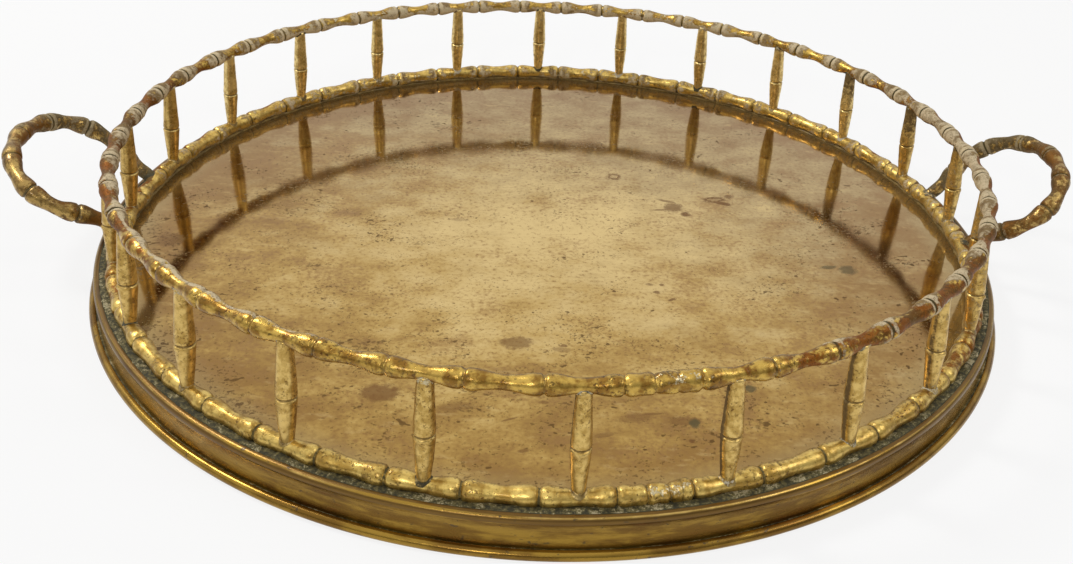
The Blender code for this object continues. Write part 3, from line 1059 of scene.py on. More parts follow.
@dataclass(frozen=True)
class Bamboo:
    """How one rod of bamboo swells at its nodes and draws in between them."""

    bulge: float
    waist: float
    groove: float
    sides: int = 20
    cut_reach: float = 0.00040
    cut_power: float = 3.0
    lip: float = 0.00010
    lip_place: float = 0.00105
    lip_width: float = 0.00035
    bulge_place: float = 0.0022
    bulge_limit_share: float = 0.22
    rounding_share: float = 0.30
    step: float = 0.0011
    uneven: float = 0.05
    dents: float = 0.00022
    dent_size: float = 0.0026

    NEAR_CUT_SHARES = (0.0, 0.05, 0.11, 0.17, 0.24, 0.33, 0.45, 0.60, 0.78, 1.0, 1.3)
    PLACE_DIGITS = 6
    # How a rod eases towards its waist and towards its cuts.
    WAIST_POWER = 0.85
    ROUNDING_POWER = 1.8
    # How much less a short length is drawn in, rounded and cut.
    SHORT_DRAWN_POWER = 1.8
    SHORT_ROUNDING_POWER = 0.5
    SHORT_CUT = 0.4
    # The broad swells of a casting, its small dents and how far both are sunk.
    BROAD_TIMES = 3.0
    BROAD_SHARE = 0.6
    DENT_SHARE = 0.5
    SUNK_SHARE = 0.5

    def stations(self, nodes: Array) -> Array:
        """Return places along the rod, close together at each node's cut.

        Args:
            nodes: The places of its nodes.

        Returns:
            The places of its rings, in order.
        """
        close = np.array(self.NEAR_CUT_SHARES) * self.bulge_place
        places = [nodes]
        for start, end in zip(nodes, nodes[1:]):
            middle = np.arange(start + close[-1] + self.step, end - close[-1] - self.step / 2.0, self.step)
            places.extend([start + close[1:], end - close[1:], middle])
        return np.unique(np.round(np.concatenate(places), self.PLACE_DIGITS))

    def shape(
        self, places: Array, nodes: Array, full_length: float, seed: int
    ) -> tuple[Array, Array]:
        """Return the rod's radius and how near a cut it is, at each place.

        Args:
            places: Places along the rod.
            nodes: The places of its nodes.
            full_length: The usual length between two nodes; shorter ones swell less.
            seed: Picks how its swells differ.

        Returns:
            The radii, and 1 in a cut falling to 0 beside it.
        """
        random = np.random.default_rng(seed)
        index = np.clip(np.searchsorted(nodes, places, side="right") - 1, 0, len(nodes) - 2)
        start, end = nodes[index], nodes[index + 1]
        length = end - start
        away = np.minimum(places - start, end - places)
        in_first_half = (places - start) / length < 0.5

        swells = 1.0 - self.uneven * random.uniform(0.0, 1.0, (2, len(nodes)))
        bulge = self.bulge * np.where(in_first_half, swells[0][index], swells[1][index])
        stretch = np.minimum(1.0, length / full_length)
        drawn = (bulge - self.waist) * stretch**self.SHORT_DRAWN_POWER
        place = np.minimum(self.bulge_place, length * self.bulge_limit_share)
        inward = np.clip((away - place) / (length / 2.0 - place), 0.0, 1.0)
        ease = 0.5 - 0.5 * np.cos(math.pi * inward**self.WAIST_POWER)
        rounding = (bulge - self.groove) * self.rounding_share * stretch**self.SHORT_ROUNDING_POWER
        rounding = rounding * (1.0 - np.clip(away / place, 0.0, 1.0)) ** self.ROUNDING_POWER
        lip = self.lip * stretch * np.exp(-(((away - self.lip_place) / self.lip_width) ** 2))
        cut = self.SHORT_CUT + (1.0 - self.SHORT_CUT) * stretch
        cut = cut / (1.0 + (away / self.cut_reach) ** self.cut_power)
        radius = bulge - drawn * ease - rounding + lip
        return radius + (self.groove - radius) * cut, cut

    def rough_rings(self, rings: Array, centres: Array, seed: int) -> Array:
        """Return rings with the small dents and swells of a hand-finished casting.

        Args:
            rings: Points, as (ring, side, 3).
            centres: The rings' centres, as (ring, 3).
            seed: Picks the noise.

        Returns:
            The rings, dented.
        """
        spokes = rings - centres[:, None, :]
        lengths = np.linalg.norm(spokes, axis=-1, keepdims=True)
        dent = smooth_noise(rings, self.dent_size, seed)
        broad = smooth_noise(rings, self.dent_size * self.BROAD_TIMES, seed + 1)
        push = self.dents * (self.DENT_SHARE * dent + self.BROAD_SHARE * broad - self.SUNK_SHARE)
        return centres[:, None, :] + spokes * (1.0 + push[..., None] / lengths)


class RailSide(Enum):
    """Which of the gallery's two rails."""

    LOWER = "lower"
    UPPER = "upper"


@dataclass(frozen=True)
class RailWear:
    """How a rail's finish changes: where it is rubbed gold, and how chalky and green the rest is."""

    gold: Spread
    rubbed_turn: float
    rubbed_narrow: float
    rubbed_wide: float
    chalk: float
    back_chalk_loss: float
    ground: float
    cut_green: float
    side_cut_green: float
    underside_green: float


class Rail:
    """A bamboo rail bent to a ring: its long run and the short length that closes it."""

    WEAR = {
        RailSide.UPPER: RailWear(
            gold=Spread(254.0, 62.0, gain=1.6), rubbed_turn=30.0, rubbed_narrow=60.0,
            rubbed_wide=146.0, chalk=0.98, back_chalk_loss=0.12, ground=0.80, cut_green=0.12,
            side_cut_green=0.80, underside_green=0.0,
        ),
        RailSide.LOWER: RailWear(
            gold=Spread(258.0, 100.0, gain=1.6), rubbed_turn=40.0, rubbed_narrow=80.0,
            rubbed_wide=170.0, chalk=0.48, back_chalk_loss=-0.45, ground=0.0, cut_green=0.62,
            side_cut_green=0.50, underside_green=0.34,
        ),
    }
    ROD = {
        RailSide.UPPER: Bamboo(0.0034, 0.0022, 0.0027, rounding_share=0.55, cut_reach=0.00045),
        RailSide.LOWER: Bamboo(0.0036, 0.0027, 0.0025, rounding_share=0.72, bulge_place=0.0026),
    }
    SEED = {RailSide.UPPER: 11, RailSide.LOWER: 23}
    LUMP_SIZE = 0.0034
    LUMP_DEPTH = 0.0009
    LUMP_LIMIT = 0.10
    LUMP_SEED = 5
    # Solder is smeared just past the joint of both rails and over a mend of the lower one.
    SMEAR_OFFSET = 5.0
    SMEAR_REACH = 9.0
    MEND = Spread(213.5, 3.5)
    MEND_SHARE = 0.9

    # Stretches of the ring, by azimuth.
    TOWARDS = Spread(262.0, 105.0)
    BACK = Spread(94.0, 88.0, gain=1.7)
    RIGHT = Spread(352.0, 46.0)
    LEFT = Spread(186.0, 50.0)
    LEFT_FRONT = Spread(222.0, 46.0)
    # Stretches round the rod, where 0 is outwards and 90 is up.
    TOP_EDGE = Spread(104.0, 44.0)
    SMEARED = Spread(55.0, 95.0)
    OUTER_LOW = Spread(-48.0, 72.0)
    OUTER_UNDER = Spread(-62.0, 62.0)
    UNDER = Spread(-100.0, 85.0)
    INNER_UNDER = Spread(-125.0, 90.0)
    INNER = Spread(-150.0, 84.0)

    # How wide the rubbed stretch is, how far it turns with the gold and how it wanders.
    RUBBED_SWELL = 0.62
    RUBBED_HOLLOW = 0.72
    RUBBED_AWAY = 0.80
    RUBBED_TOWARDS = 0.60
    RUBBED_GAIN = 2.0
    GOLD_TURN = 16.0
    WANDER_TURN = 12.0
    WANDER_LENGTH = 5.0
    # How much chalk each place gains or loses.
    CHALK_UNDER_LOSS = 0.8
    CHALK_SWELL_LOSS = 0.10
    CHALK_HOLLOW_LOSS = 0.66
    CHALK_LEFT_KEPT = 0.3
    CHALK_WAIST_LOSS = 0.10
    CHALK_EDGE = 1.1
    CHALK_LIPS = 0.66
    CHALK_LIPS_BACK_LOSS = 0.5
    CHALK_UNDERSIDE = 1.8
    CHALK_INNER = 0.84
    # How much tarnish each place gains or loses, and how much painted shade, in the tarnish colour, the
    # rail's undersides take.
    TARNISH_SWELL = 0.66
    TARNISH_HOLLOW = 0.22
    TARNISH_BACK_LOSS = 0.34
    TARNISH_GOLD = 0.10
    TARNISH_GOLD_HOLLOW = 0.14
    TARNISH_LEFT = 0.10
    TARNISH_BACK_HOLLOW = 0.10
    OUTER_LOW_SHADE = 0.16
    UNDERSIDE_SHADE = 0.22
    # The rest: green in the cuts, tin at the joints, painted glints along the back and powder on the lips.
    NODE_GAIN = 1.4
    GREEN_BACK_LOSS = 0.5
    CUT_GOLD_LOSS = 0.45
    TIN_SMEAR = 0.56
    BACK_GLINTS = 0.42
    POWDER_RIGHT = 0.40
    POWDER_PLAIN = 0.08
    POWDER_EDGE = 1.1
    POWDER_INNER = 0.5
    POWDER_LIMIT = 1.5

    def __init__(self, side: RailSide, sizes: GallerySizes) -> None:
        """Take the rail's place in the gallery.

        Args:
            side: Which rail it is.
            sizes: The gallery's sizes.
        """
        self.side = side
        self.sizes = sizes
        upper = side is RailSide.UPPER
        self.radius = sizes.upper_radius if upper else sizes.lower_radius
        self.height = sizes.upper_height if upper else sizes.lower_height
        self.rod = self.ROD[side]
        self.wear = self.WEAR[side]
        self.seed = self.SEED[side]

    def build(self, brass: Material) -> None:
        """Build both lengths of the rail.

        Args:
            brass: The rail's material.
        """
        name = f"{self.side.value}_rail"
        self._length(f"{name}_run", self.sizes.run_nodes(), brass, name)
        self._length(f"{name}_closing_piece", self.sizes.closing_nodes(), brass, f"{name}_closing_length")

    def _length(self, name: str, node_turns: Array, brass: Material, node: str) -> None:
        """Build one length of the rail.

        Args:
            name: The piece's name.
            node_turns: The azimuths of its nodes.
            brass: Its material.
            node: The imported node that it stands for.
        """
        nodes = np.radians(node_turns) * self.radius
        places = self.rod.stations(nodes)
        full_length = math.radians(self.sizes.internode) * self.radius
        radii, cut = self.rod.shape(places, nodes, full_length, self.seed)
        turns = places / self.radius
        around = full_turn(self.rod.sides)
        outs = outward(turns)
        centres = outs * self.radius + UP * self.height
        spokes = outs[:, None, :] * np.cos(around)[None, :, None] + UP * np.sin(around)[None, :, None]
        rings = centres[:, None, :] + spokes * radii[:, None, None]
        rings = self.rod.rough_rings(rings, centres, self.seed)

        azimuths = np.degrees(turns)[:, None]
        phases = np.degrees(around)[None, :]
        smear = Spread(self.sizes.joint_start + self.SMEAR_OFFSET, self.SMEAR_REACH).over(azimuths)
        if self.side is RailSide.LOWER:
            smear = np.maximum(smear, self.MEND_SHARE * self.MEND.over(azimuths))
        lumps = smooth_noise(rings, self.LUMP_SIZE, self.seed + self.LUMP_SEED)
        lumps = np.minimum(lumps, self.LUMP_LIMIT) * smear
        rings = rings + spokes * (lumps * self.LUMP_DEPTH)[..., None]
        hollow = np.clip((self.rod.bulge - radii) / (self.rod.bulge - self.rod.waist), 0.0, 1.0)
        paint = self._paint(azimuths, phases, cut[:, None], hollow[:, None], smear)
        Skin.tube(rings, paint).build(name, [brass], Slot.RAIL, [node])

    def _paint(
        self, azimuths: Array, phases: Array, cut: Array, hollow: Array, smear: Array
    ) -> Painting:
        """Return the rail's paint.

        Args:
            azimuths: Each ring's azimuth, as (ring, 1).
            phases: Each side's turn round the rod from outwards through up, as (1, side).
            cut: How near a cut each ring is, as (ring, 1).
            hollow: How far each ring is drawn in towards the waist, as (ring, 1).
            smear: How near a lumpy joint each ring is, as (ring, 1).

        Returns:
            The paint, as (ring, side).
        """
        wear = self.wear
        flat = np.ones_like(azimuths * phases)
        golden = wear.gold.over(azimuths)
        plain = 1.0 - golden
        back, right, left = (place.over(azimuths) for place in (self.BACK, self.RIGHT, self.LEFT))
        under = self.UNDER.over(phases)
        narrow = wear.rubbed_narrow * (self.RUBBED_SWELL + self.RUBBED_HOLLOW * hollow)
        narrow = narrow * (self.RUBBED_AWAY + self.RUBBED_TOWARDS * self.TOWARDS.over(azimuths))
        reach = narrow + (wear.rubbed_wide - narrow) * golden
        along = azimuths[..., None] / self.WANDER_LENGTH * np.array([1.0, 0.0, 0.0])
        wander = smooth_noise(along, 1.0, self.seed)
        centre = wear.rubbed_turn + self.GOLD_TURN * golden + self.WANDER_TURN * wander
        rubbed = Spread(centre, reach, self.RUBBED_GAIN).over(phases)
        lips = cut_lips(cut)
        edge = self.TOP_EDGE.over(phases) * self.LEFT_FRONT.over(azimuths) * wear.ground
        inner = self.INNER.over(phases) * plain * back * wear.chalk

        chalk = (1.0 - rubbed) * wear.chalk * (1.0 - wear.back_chalk_loss * back)
        chalk = chalk * (1.0 - self.CHALK_UNDER_LOSS * under)
        bare = 1.0 - np.maximum(right, self.CHALK_LEFT_KEPT * left)
        chalk = chalk * (1.0 - (self.CHALK_SWELL_LOSS + self.CHALK_HOLLOW_LOSS * hollow) * bare)
        chalk = np.maximum(chalk, self.CHALK_EDGE * edge)
        on_lips = self.CHALK_LIPS * lips * plain * (1.0 - self.CHALK_LIPS_BACK_LOSS * back) * wear.chalk
        chalk = np.maximum(chalk, on_lips) - self.CHALK_WAIST_LOSS * hollow * plain
        underside = self.CHALK_UNDERSIDE * wear.underside_green * self.INNER_UNDER.over(phases) * plain
        chalk = np.maximum.reduce([chalk, underside, self.CHALK_INNER * inner])

        depth = self.TARNISH_SWELL + self.TARNISH_HOLLOW * hollow - self.TARNISH_BACK_LOSS * back
        tarnish = np.maximum(rubbed, wear.ground * (1.0 - back)) * plain * depth
        tarnish = tarnish + (self.TARNISH_GOLD + self.TARNISH_GOLD_HOLLOW * hollow) * golden
        tarnish = tarnish + (self.TARNISH_LEFT * left + self.TARNISH_BACK_HOLLOW * back * hollow) * plain
        # Painted shade: the outer lower side in the gold stretch and the underside away from the back are
        # darkened with the tarnish colour.
        tarnish = tarnish + self.OUTER_LOW_SHADE * self.OUTER_LOW.over(phases) * golden
        tarnish = tarnish + self.UNDERSIDE_SHADE * under * plain * (1.0 - back)

        cut_green = wear.side_cut_green + (wear.cut_green - wear.side_cut_green) * golden
        cut_green = cut_green * (1.0 - self.GREEN_BACK_LOSS * back)
        at_node = np.clip(cut * self.NODE_GAIN, 0.0, 1.0)
        outer_under = self.OUTER_UNDER.over(phases) * wear.underside_green
        smeared = smear * self.SMEARED.over(phases) * self.TIN_SMEAR
        powder = lips + self.POWDER_RIGHT * right + self.POWDER_PLAIN * plain * (1.0 - right)
        powder = powder + self.POWDER_EDGE * edge + self.POWDER_INNER * inner
        return {
            Paint.CUT: cut * (1.0 - self.CUT_GOLD_LOSS * golden) * flat,
            Paint.TARNISH_AND_SHADE: tarnish,
            Paint.OXIDE_AND_SHADE: chalk,
            Paint.GRIME: np.maximum(at_node * cut_green, outer_under * flat),
            # Tin at the joints, and painted glints as pale patches along the back.
            Paint.SOLDER_AND_GLINTS: np.maximum(smeared, self.BACK_GLINTS * back),
            Paint.LIP_AND_SHADE: np.clip(powder, 0.0, self.POWDER_LIMIT),
        }


@dataclass(frozen=True)
class BalusterSizes:
    """The turned outline of a baluster, whose places are shares of its length from its foot."""

    head: float = 0.00235
    belly: float = 0.0034
    ring: float = 0.0028
    foot: float = 0.0018
    ring_share: float = 0.47
    lip_share: float = 0.022
    upper_power: float = 0.90
    lower_power: float = 0.76
    cut_reach: float = 0.00032
    cut_power: float = 4.0
    rounding_share: float = 0.4
    sides: int = 20
    even_rings: int = 40
    close_rings: int = 18
    end_shares: tuple[float, float] = (0.045, 0.985)
    close_lips: float = 1.6
    clear_lips: float = 1.7
    bud_drop: float = 0.0012
    bud_length: float = 0.0008
    bud_turn: float = 34.0
    bud_height: float = 0.00045
    turned_shares: tuple[float, float] = (0.90, 0.97)
    dent_size: float = 0.0028
    dent_depth: float = 0.00010

    def radius(self, shares: Array, length: float) -> tuple[Array, Array]:
        """Return the radius and the closeness to the ring's cut at each share of the length.

        Args:
            shares: Places from 0 at the foot to 1 at the head.
            length: The baluster's length.

        Returns:
            The radii, and 1 in the cut falling to 0 beside it.
        """
        low_end = self.ring_share - self.lip_share
        high_end = self.ring_share + self.lip_share
        lower = np.clip(shares / low_end, 0.0, 1.0) ** self.lower_power
        upper = np.clip((1.0 - shares) / (1.0 - high_end), 0.0, 1.0) ** self.upper_power
        lower_radius = self.foot + (self.belly - self.foot) * lower
        upper_radius = self.head + (self.belly - self.head) * upper
        radii = np.where(shares < self.ring_share, lower_radius, upper_radius)
        away = np.abs(shares - self.ring_share) * length
        cut = 1.0 / (1.0 + (away / self.cut_reach) ** self.cut_power)
        lip = self.lip_share * length
        rounding = (self.belly - self.ring) * self.rounding_share
        radii = radii - rounding * np.clip(1.0 - away / lip, 0.0, 1.0) ** 2
        return radii + (self.ring - radii) * cut, cut

    def ring_shares(self) -> Array:
        """Return the places of the rings of points, close together round the cut.

        Returns:
            The places, from the foot to the head.
        """
        even = np.linspace(*self.end_shares, self.even_rings)
        beside = np.linspace(-1.0, 1.0, self.close_rings) * self.lip_share * self.close_lips
        outside = np.abs(even - self.ring_share) > self.lip_share * self.clear_lips
        return np.sort(np.concatenate([even[outside], self.ring_share + beside]))


class Balusters:
    """The 24 turned bamboo balusters between the rails, each a little different."""

    PALE = (22.0, 158.0)
    TURNING_SEED = 301
    WEAR_SEED = 101

    # Stretches of the gallery, by azimuth.
    FRONT = Spread(266.0, 100.0)
    RIGHT = Spread(345.0, 78.0)
    SHADED_FRONT = Spread(280.0, 84.0)
    BACK = Spread(85.0, 100.0)
    BACK_RIGHT = Spread(22.0, 48.0)
    # Stretches round a baluster, where 0 is outwards.
    # Painted shade: both edges of a baluster, where it turns away, darkened with the tarnish colour.
    SHADED_EDGES = (Spread(98.0, 36.0, gain=1.3), Spread(-98.0, 36.0, gain=1.3))
    # Painted shade: one side of the front balusters, laid as dark matt green.
    SHADED = Spread(-98.0, 50.0)
    INNER = Spread(180.0, 110.0)
    # Stretches along a baluster.
    FEET = (0.16, 0.05)
    HEADS = (0.88, 0.96)
    AGED = (0.10, 0.85)

    TARNISH_LEVEL = 0.12
    # How strong the painted shade on the edges is, away from the front and at the front.
    EDGE_SHADE = 0.34
    EDGE_SHADE_AWAY = 0.35
    EDGE_SHADE_FRONT = 0.65
    TARNISH_INNER = 0.12
    TARNISH_SPREAD = (-0.06, 0.08)
    CHALK_LEVEL = 0.04
    CHALK_RIGHT = 0.34
    CHALK_FEET = 0.16
    CHALK_BACK = 0.26
    TINNED_HEADS = (0.15, 0.62)
    TINNED_FEET = (0.10, 0.55)
    GREEN_CUT = 0.20
    GREEN_HEADS = 0.26
    GREEN_FEET = 0.16
    GREEN_SHADED = 0.95
    GREEN_AGED = 0.64

    def __init__(self, gallery: GallerySizes, sizes: BalusterSizes) -> None:
        """Take the gallery's and the balusters' sizes."""
        self.gallery = gallery
        self.sizes = sizes

    def build(self, brass: Material, pale: Material) -> None:
        """Build every baluster.

        Args:
            brass: The material of most of them.
            pale: The material of those at the back.
        """
        for index in range(self.gallery.baluster_count):
            azimuth = index * self.gallery.bay
            self._one(index, azimuth, pale if self.PALE[0] < azimuth < self.PALE[1] else brass)

    def _one(self, index: int, azimuth: float, brass: Material) -> None:
        """Build one baluster.

        Args:
            index: Its number, counted from the one on +X.
            azimuth: Its azimuth.
            brass: Its material.
        """
        sizes, gallery = self.sizes, self.gallery
        rise = gallery.upper_height - gallery.lower_height
        lean = gallery.upper_radius - gallery.lower_radius
        length = math.hypot(rise, lean)
        shares = sizes.ring_shares()
        radii, cut = sizes.radius(shares, length)
        around = full_turn(sizes.sides)
        axis = np.array([lean, 0.0, rise]) / length
        facing = np.array([rise, 0.0, -lean]) / length
        sideways = np.cross(UP, outward(0.0))
        foot = np.array([gallery.lower_radius, 0.0, gallery.lower_height])
        centres = foot + shares[:, None] * axis * length
        spokes = facing * np.cos(around)[:, None] + sideways * np.sin(around)[:, None]

        phases = np.degrees(around)[None, :]
        below = (sizes.ring_share - shares) * length - sizes.bud_drop
        bud = np.exp(-((below / sizes.bud_length) ** 2))[:, None] * Spread(0.0, sizes.bud_turn).over(phases)
        turned_to = np.random.default_rng(self.TURNING_SEED + index).uniform(*sizes.turned_shares)
        grown = radii[:, None] * turned_to + bud * sizes.bud_height
        rings = centres[:, None, :] + spokes[None, :, :] * grown[..., None]
        turned = np.array(Matrix.Rotation(math.radians(azimuth), 3, "Z"))
        rings = rings @ turned.T
        dents = smooth_noise(rings, sizes.dent_size, index)[..., None] * sizes.dent_depth
        rings = rings + dents * (spokes @ turned.T)
        paint = self._paint(shares[:, None], phases, cut[:, None], azimuth, index)
        node = f"baluster_{index + 1:02d}"
        Skin.tube(rings, paint).build(f"turned_{node}", [brass], Slot.BALUSTER, [node])

    def _paint(
        self, shares: Array, phases: Array, cut: Array, azimuth: float, index: int
    ) -> Painting:
        """Return a baluster's paint.

        Args:
            shares: Each ring's place, as (ring, 1).
            phases: Each side's turn from outwards, as (1, side).
            cut: How near the cut each ring is, as (ring, 1).
            azimuth: The baluster's azimuth.
            index: The baluster's number.

        Returns:
            The paint, as (ring, side).
        """
        random = np.random.default_rng(self.WEAR_SEED + index)
        flat = np.ones_like(shares * phases)
        feet, heads = eased(shares, *self.FEET), eased(shares, *self.HEADS)
        # Painted shade on both edges, stronger on the balusters at the front, laid through the tarnish
        # paint.
        edge_shading = sum(edge.over(phases) for edge in self.SHADED_EDGES)
        edge_shading = edge_shading * (self.EDGE_SHADE_AWAY + self.EDGE_SHADE_FRONT * self.FRONT.over(azimuth))
        tarnish = self.TARNISH_LEVEL + self.EDGE_SHADE * edge_shading
        tarnish = tarnish + self.TARNISH_INNER * self.INNER.over(phases)
        tarnish = tarnish + random.uniform(*self.TARNISH_SPREAD)
        chalk = self.CHALK_LEVEL + self.CHALK_RIGHT * self.RIGHT.over(azimuth)
        chalk = chalk + self.CHALK_FEET * feet + self.CHALK_BACK * self.BACK.over(azimuth)
        tinned = heads * random.uniform(*self.TINNED_HEADS) + feet * random.uniform(*self.TINNED_FEET)
        # Painted shade on one side of the front balusters, painted dark and matt through the grime paint.
        shaded = self.SHADED.over(phases) * self.SHADED_FRONT.over(azimuth)
        aged = eased(shares, *self.AGED) * self.BACK_RIGHT.over(azimuth)
        green = self.GREEN_CUT * cut + self.GREEN_HEADS * heads + self.GREEN_FEET * feet
        green = green + self.GREEN_SHADED * shaded + self.GREEN_AGED * aged
        return {
            Paint.CUT: cut * flat,
            Paint.TARNISH_AND_SHADE: tarnish * flat,
            Paint.OXIDE_AND_SHADE: chalk * flat,
            Paint.GRIME: green * flat,
            Paint.SOLDER_AND_GLINTS: tinned * flat,
        }


@dataclass(frozen=True)
class HandleSizes:
    """The loop of a handle, drawn in its own plane and tilted up from the lower rail."""

    half_width: float = 0.0306
    reach: float = 0.0506
    widest: float = 0.0279
    foot_radius: float = 0.0023
    foot_inset: float = 0.0012
    foot_taper_share: float = 0.55
    internodes: int = 8
    leg_ease_shares: tuple[float, float] = (0.50, 0.40)
    crown_ease_shares: tuple[float, float] = (0.73, 0.36)
    samples: int = 400


@dataclass(frozen=True)
class HandlePose:
    """Where a handle stands, how steeply it rises and how much of it is rubbed to gold."""

    turn: float
    tilt: float
    gold: float


class Handle:
    """One bamboo loop handle."""

    ROD = Bamboo(0.0038, 0.0028, 0.0031, sides=24, cut_reach=0.00038)
    POSES = {
        "handle_right": HandlePose(turn=0.8, tilt=38.0, gold=0.46),
        "handle_left": HandlePose(turn=178.0, tilt=34.3, gold=0.95),
    }
    SWELL_SEED = 31
    DENT_SEED = 37

    # Where the front half starts, as shares of half the width, and where the bow starts.
    FRONT_SHARES = (-0.75, 0.45)
    BOW = (0.004, 0.030)
    GRIP = Spread(25.0, 112.0)
    CUT_BACK_LOSS = 0.35
    TARNISH_LEVEL = 0.80
    TARNISH_WORN_LOSS = 0.66
    TARNISH_BACK_LOSS = 0.22
    WORN_UNDER = 0.10
    WORN_GRIP = 0.90
    CHALK_LEVEL = 0.20
    CHALK_BACK = 0.46
    CHALK_UNDER = 0.7
    CHALK_GRIP = 0.3
    CHALK_WORN_LOSS = 0.16
    CHALK_LIPS = 0.30
    CHALK_LIPS_WORN_LOSS = 0.6
    GREEN_CUT = 0.34
    GREEN_FEET = 0.30
    GREEN_BACK = 0.24

    def __init__(self, name: str, gallery: GallerySizes, sizes: HandleSizes) -> None:
        """Take the handle's name, which gives its place, and its sizes.

        Args:
            name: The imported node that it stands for.
            gallery: The gallery's sizes.
            sizes: The handle's sizes.
        """
        self.name = name
        self.sizes = sizes
        self.pose = self.POSES[name]
        self.seat_height = gallery.lower_height
        self.seat_radius = gallery.lower_radius * math.cos(math.radians(gallery.internode))
        self.foot_across = gallery.lower_radius * math.sin(math.radians(gallery.internode))

    def _loop(self) -> Array:
        """Draw the centre line in the loop's own plane, foot to foot.

        Returns:
            Its points, as (across, outward).
        """
        sizes = self.sizes
        leg_rise, leg_settle = sizes.leg_ease_shares
        crown_rise, crown_settle = sizes.crown_ease_shares
        bow_height = sizes.reach - sizes.widest
        leg = (
            (self.foot_across, 0.0),
            (self.foot_across, sizes.widest * leg_rise),
            (sizes.half_width, sizes.widest * (1.0 - leg_settle)),
            (sizes.half_width, sizes.widest),
        )
        bow = (
            (sizes.half_width, sizes.widest),
            (sizes.half_width, sizes.widest + bow_height * crown_rise),
            (sizes.half_width * crown_settle, sizes.reach),
            (0.0, sizes.reach),
        )
        half = np.vstack([bezier(leg, sizes.samples), bezier(bow, sizes.samples)[1:]])
        return np.vstack([half, half[::-1][1:] * (-1.0, 1.0)])

    def frame_axes(self) -> tuple[Array, Array, Array, Array]:
        """Work out the loop's plane.

        Returns:
            Its origin, its across and outward directions and its normal.
        """
        turn = math.radians(self.pose.turn)
        tilt = math.radians(self.pose.tilt)
        out = outward(turn)
        across = np.cross(UP, out)
        risen = out * math.cos(tilt) + UP * math.sin(tilt)
        normal = UP * math.cos(tilt) - out * math.sin(tilt)
        return out * self.seat_radius + UP * self.seat_height, across, risen, normal

    def build(self, brass: Material) -> None:
        """Build the handle.

        Args:
            brass: Its material.
        """
        sizes = self.sizes
        flat = self._loop()
        lengths = np.concatenate([[0.0], np.cumsum(np.linalg.norm(np.diff(flat, axis=0), axis=1))])
        whole = lengths[-1]
        nodes = np.linspace(0.0, whole, sizes.internodes + 1)
        places = self.ROD.stations(nodes)
        places = places[(places > sizes.foot_inset) & (places < whole - sizes.foot_inset)]
        radii, cut = self.ROD.shape(places, nodes, nodes[1], self.SWELL_SEED)
        legs = eased(np.minimum(places, whole - places), 0.0, nodes[1] * sizes.foot_taper_share)
        radii = sizes.foot_radius + (radii - sizes.foot_radius) * legs

        origin, across, risen, normal = self.frame_axes()
        line = np.column_stack([np.interp(places, lengths, flat[:, axis]) for axis in (0, 1)])
        ahead = np.gradient(line, places, axis=0)
        ahead = ahead / np.linalg.norm(ahead, axis=1, keepdims=True)
        side = np.column_stack([ahead[:, 1], -ahead[:, 0]])
        to_space = np.vstack([across, risen])
        centres = origin + line @ to_space
        outs = side @ to_space
        around = full_turn(self.ROD.sides)
        spokes = outs[:, None, :] * np.cos(around)[None, :, None] + normal * np.sin(around)[None, :, None]
        rings = centres[:, None, :] + spokes * radii[:, None, None]
        rings = self.ROD.rough_rings(rings, centres, self.DENT_SEED)

        phases = np.degrees(around)[None, :]
        paint = self._paint(line, phases, cut[:, None], legs[:, None])
        skin = Skin.tube(rings, paint)
        skin.build(f"{self.name}_loop", [brass], Slot.HANDLE, [self.name])

    def _paint(
        self, line: Array, phases: Array, cut: Array, legs: Array
    ) -> Painting:
        """Return the handle's paint.

        Args:
            line: Each ring's centre in the loop's plane, as (across, outward).
            phases: Each side's turn round the rod from outwards through the loop's top face.
            cut: How near a cut each ring is, as (ring, 1).
            legs: How far each ring is above the foot, as (ring, 1).

        Returns:
            The paint, as (ring, side).
        """
        flat = np.ones_like(phases)
        forward = -math.cos(math.radians(self.pose.turn)) * line[:, :1] / self.sizes.half_width
        front = eased(forward, *self.FRONT_SHARES)
        back = 1.0 - front
        worn = self.pose.gold * front * eased(line[:, 1:], *self.BOW)
        grip = self.GRIP.over(phases)
        lips = cut_lips(cut)
        tarnish = self.TARNISH_LEVEL - self.TARNISH_BACK_LOSS * back
        tarnish = tarnish - self.TARNISH_WORN_LOSS * worn * (self.WORN_UNDER + self.WORN_GRIP * grip)
        chalk = self.CHALK_LEVEL + self.CHALK_BACK * back * (self.CHALK_UNDER + self.CHALK_GRIP * grip)
        chalk = chalk - self.CHALK_WORN_LOSS * worn
        chalk = chalk + self.CHALK_LIPS * lips * (1.0 - self.CHALK_LIPS_WORN_LOSS * worn)
        green = self.GREEN_CUT * cut * back + self.GREEN_FEET * (1.0 - legs) + self.GREEN_BACK * back
        return {
            Paint.CUT: cut * (1.0 - self.CUT_BACK_LOSS * back) * flat,
            Paint.TARNISH_AND_SHADE: tarnish * flat,
            Paint.OXIDE_AND_SHADE: chalk * flat,
            Paint.GRIME: green * flat,
            Paint.LIP_AND_SHADE: lips * flat,
        }


@dataclass(frozen=True)
class Joint:
    """Where a rod is soldered to a rail: both centre lines meet at the seat."""

    name: str
    seat: Array
    rod_direction: Array
    rail_direction: Array
    rod_radius: float
    rail_radius: float
    rise: float
    spread: float
    seed: int


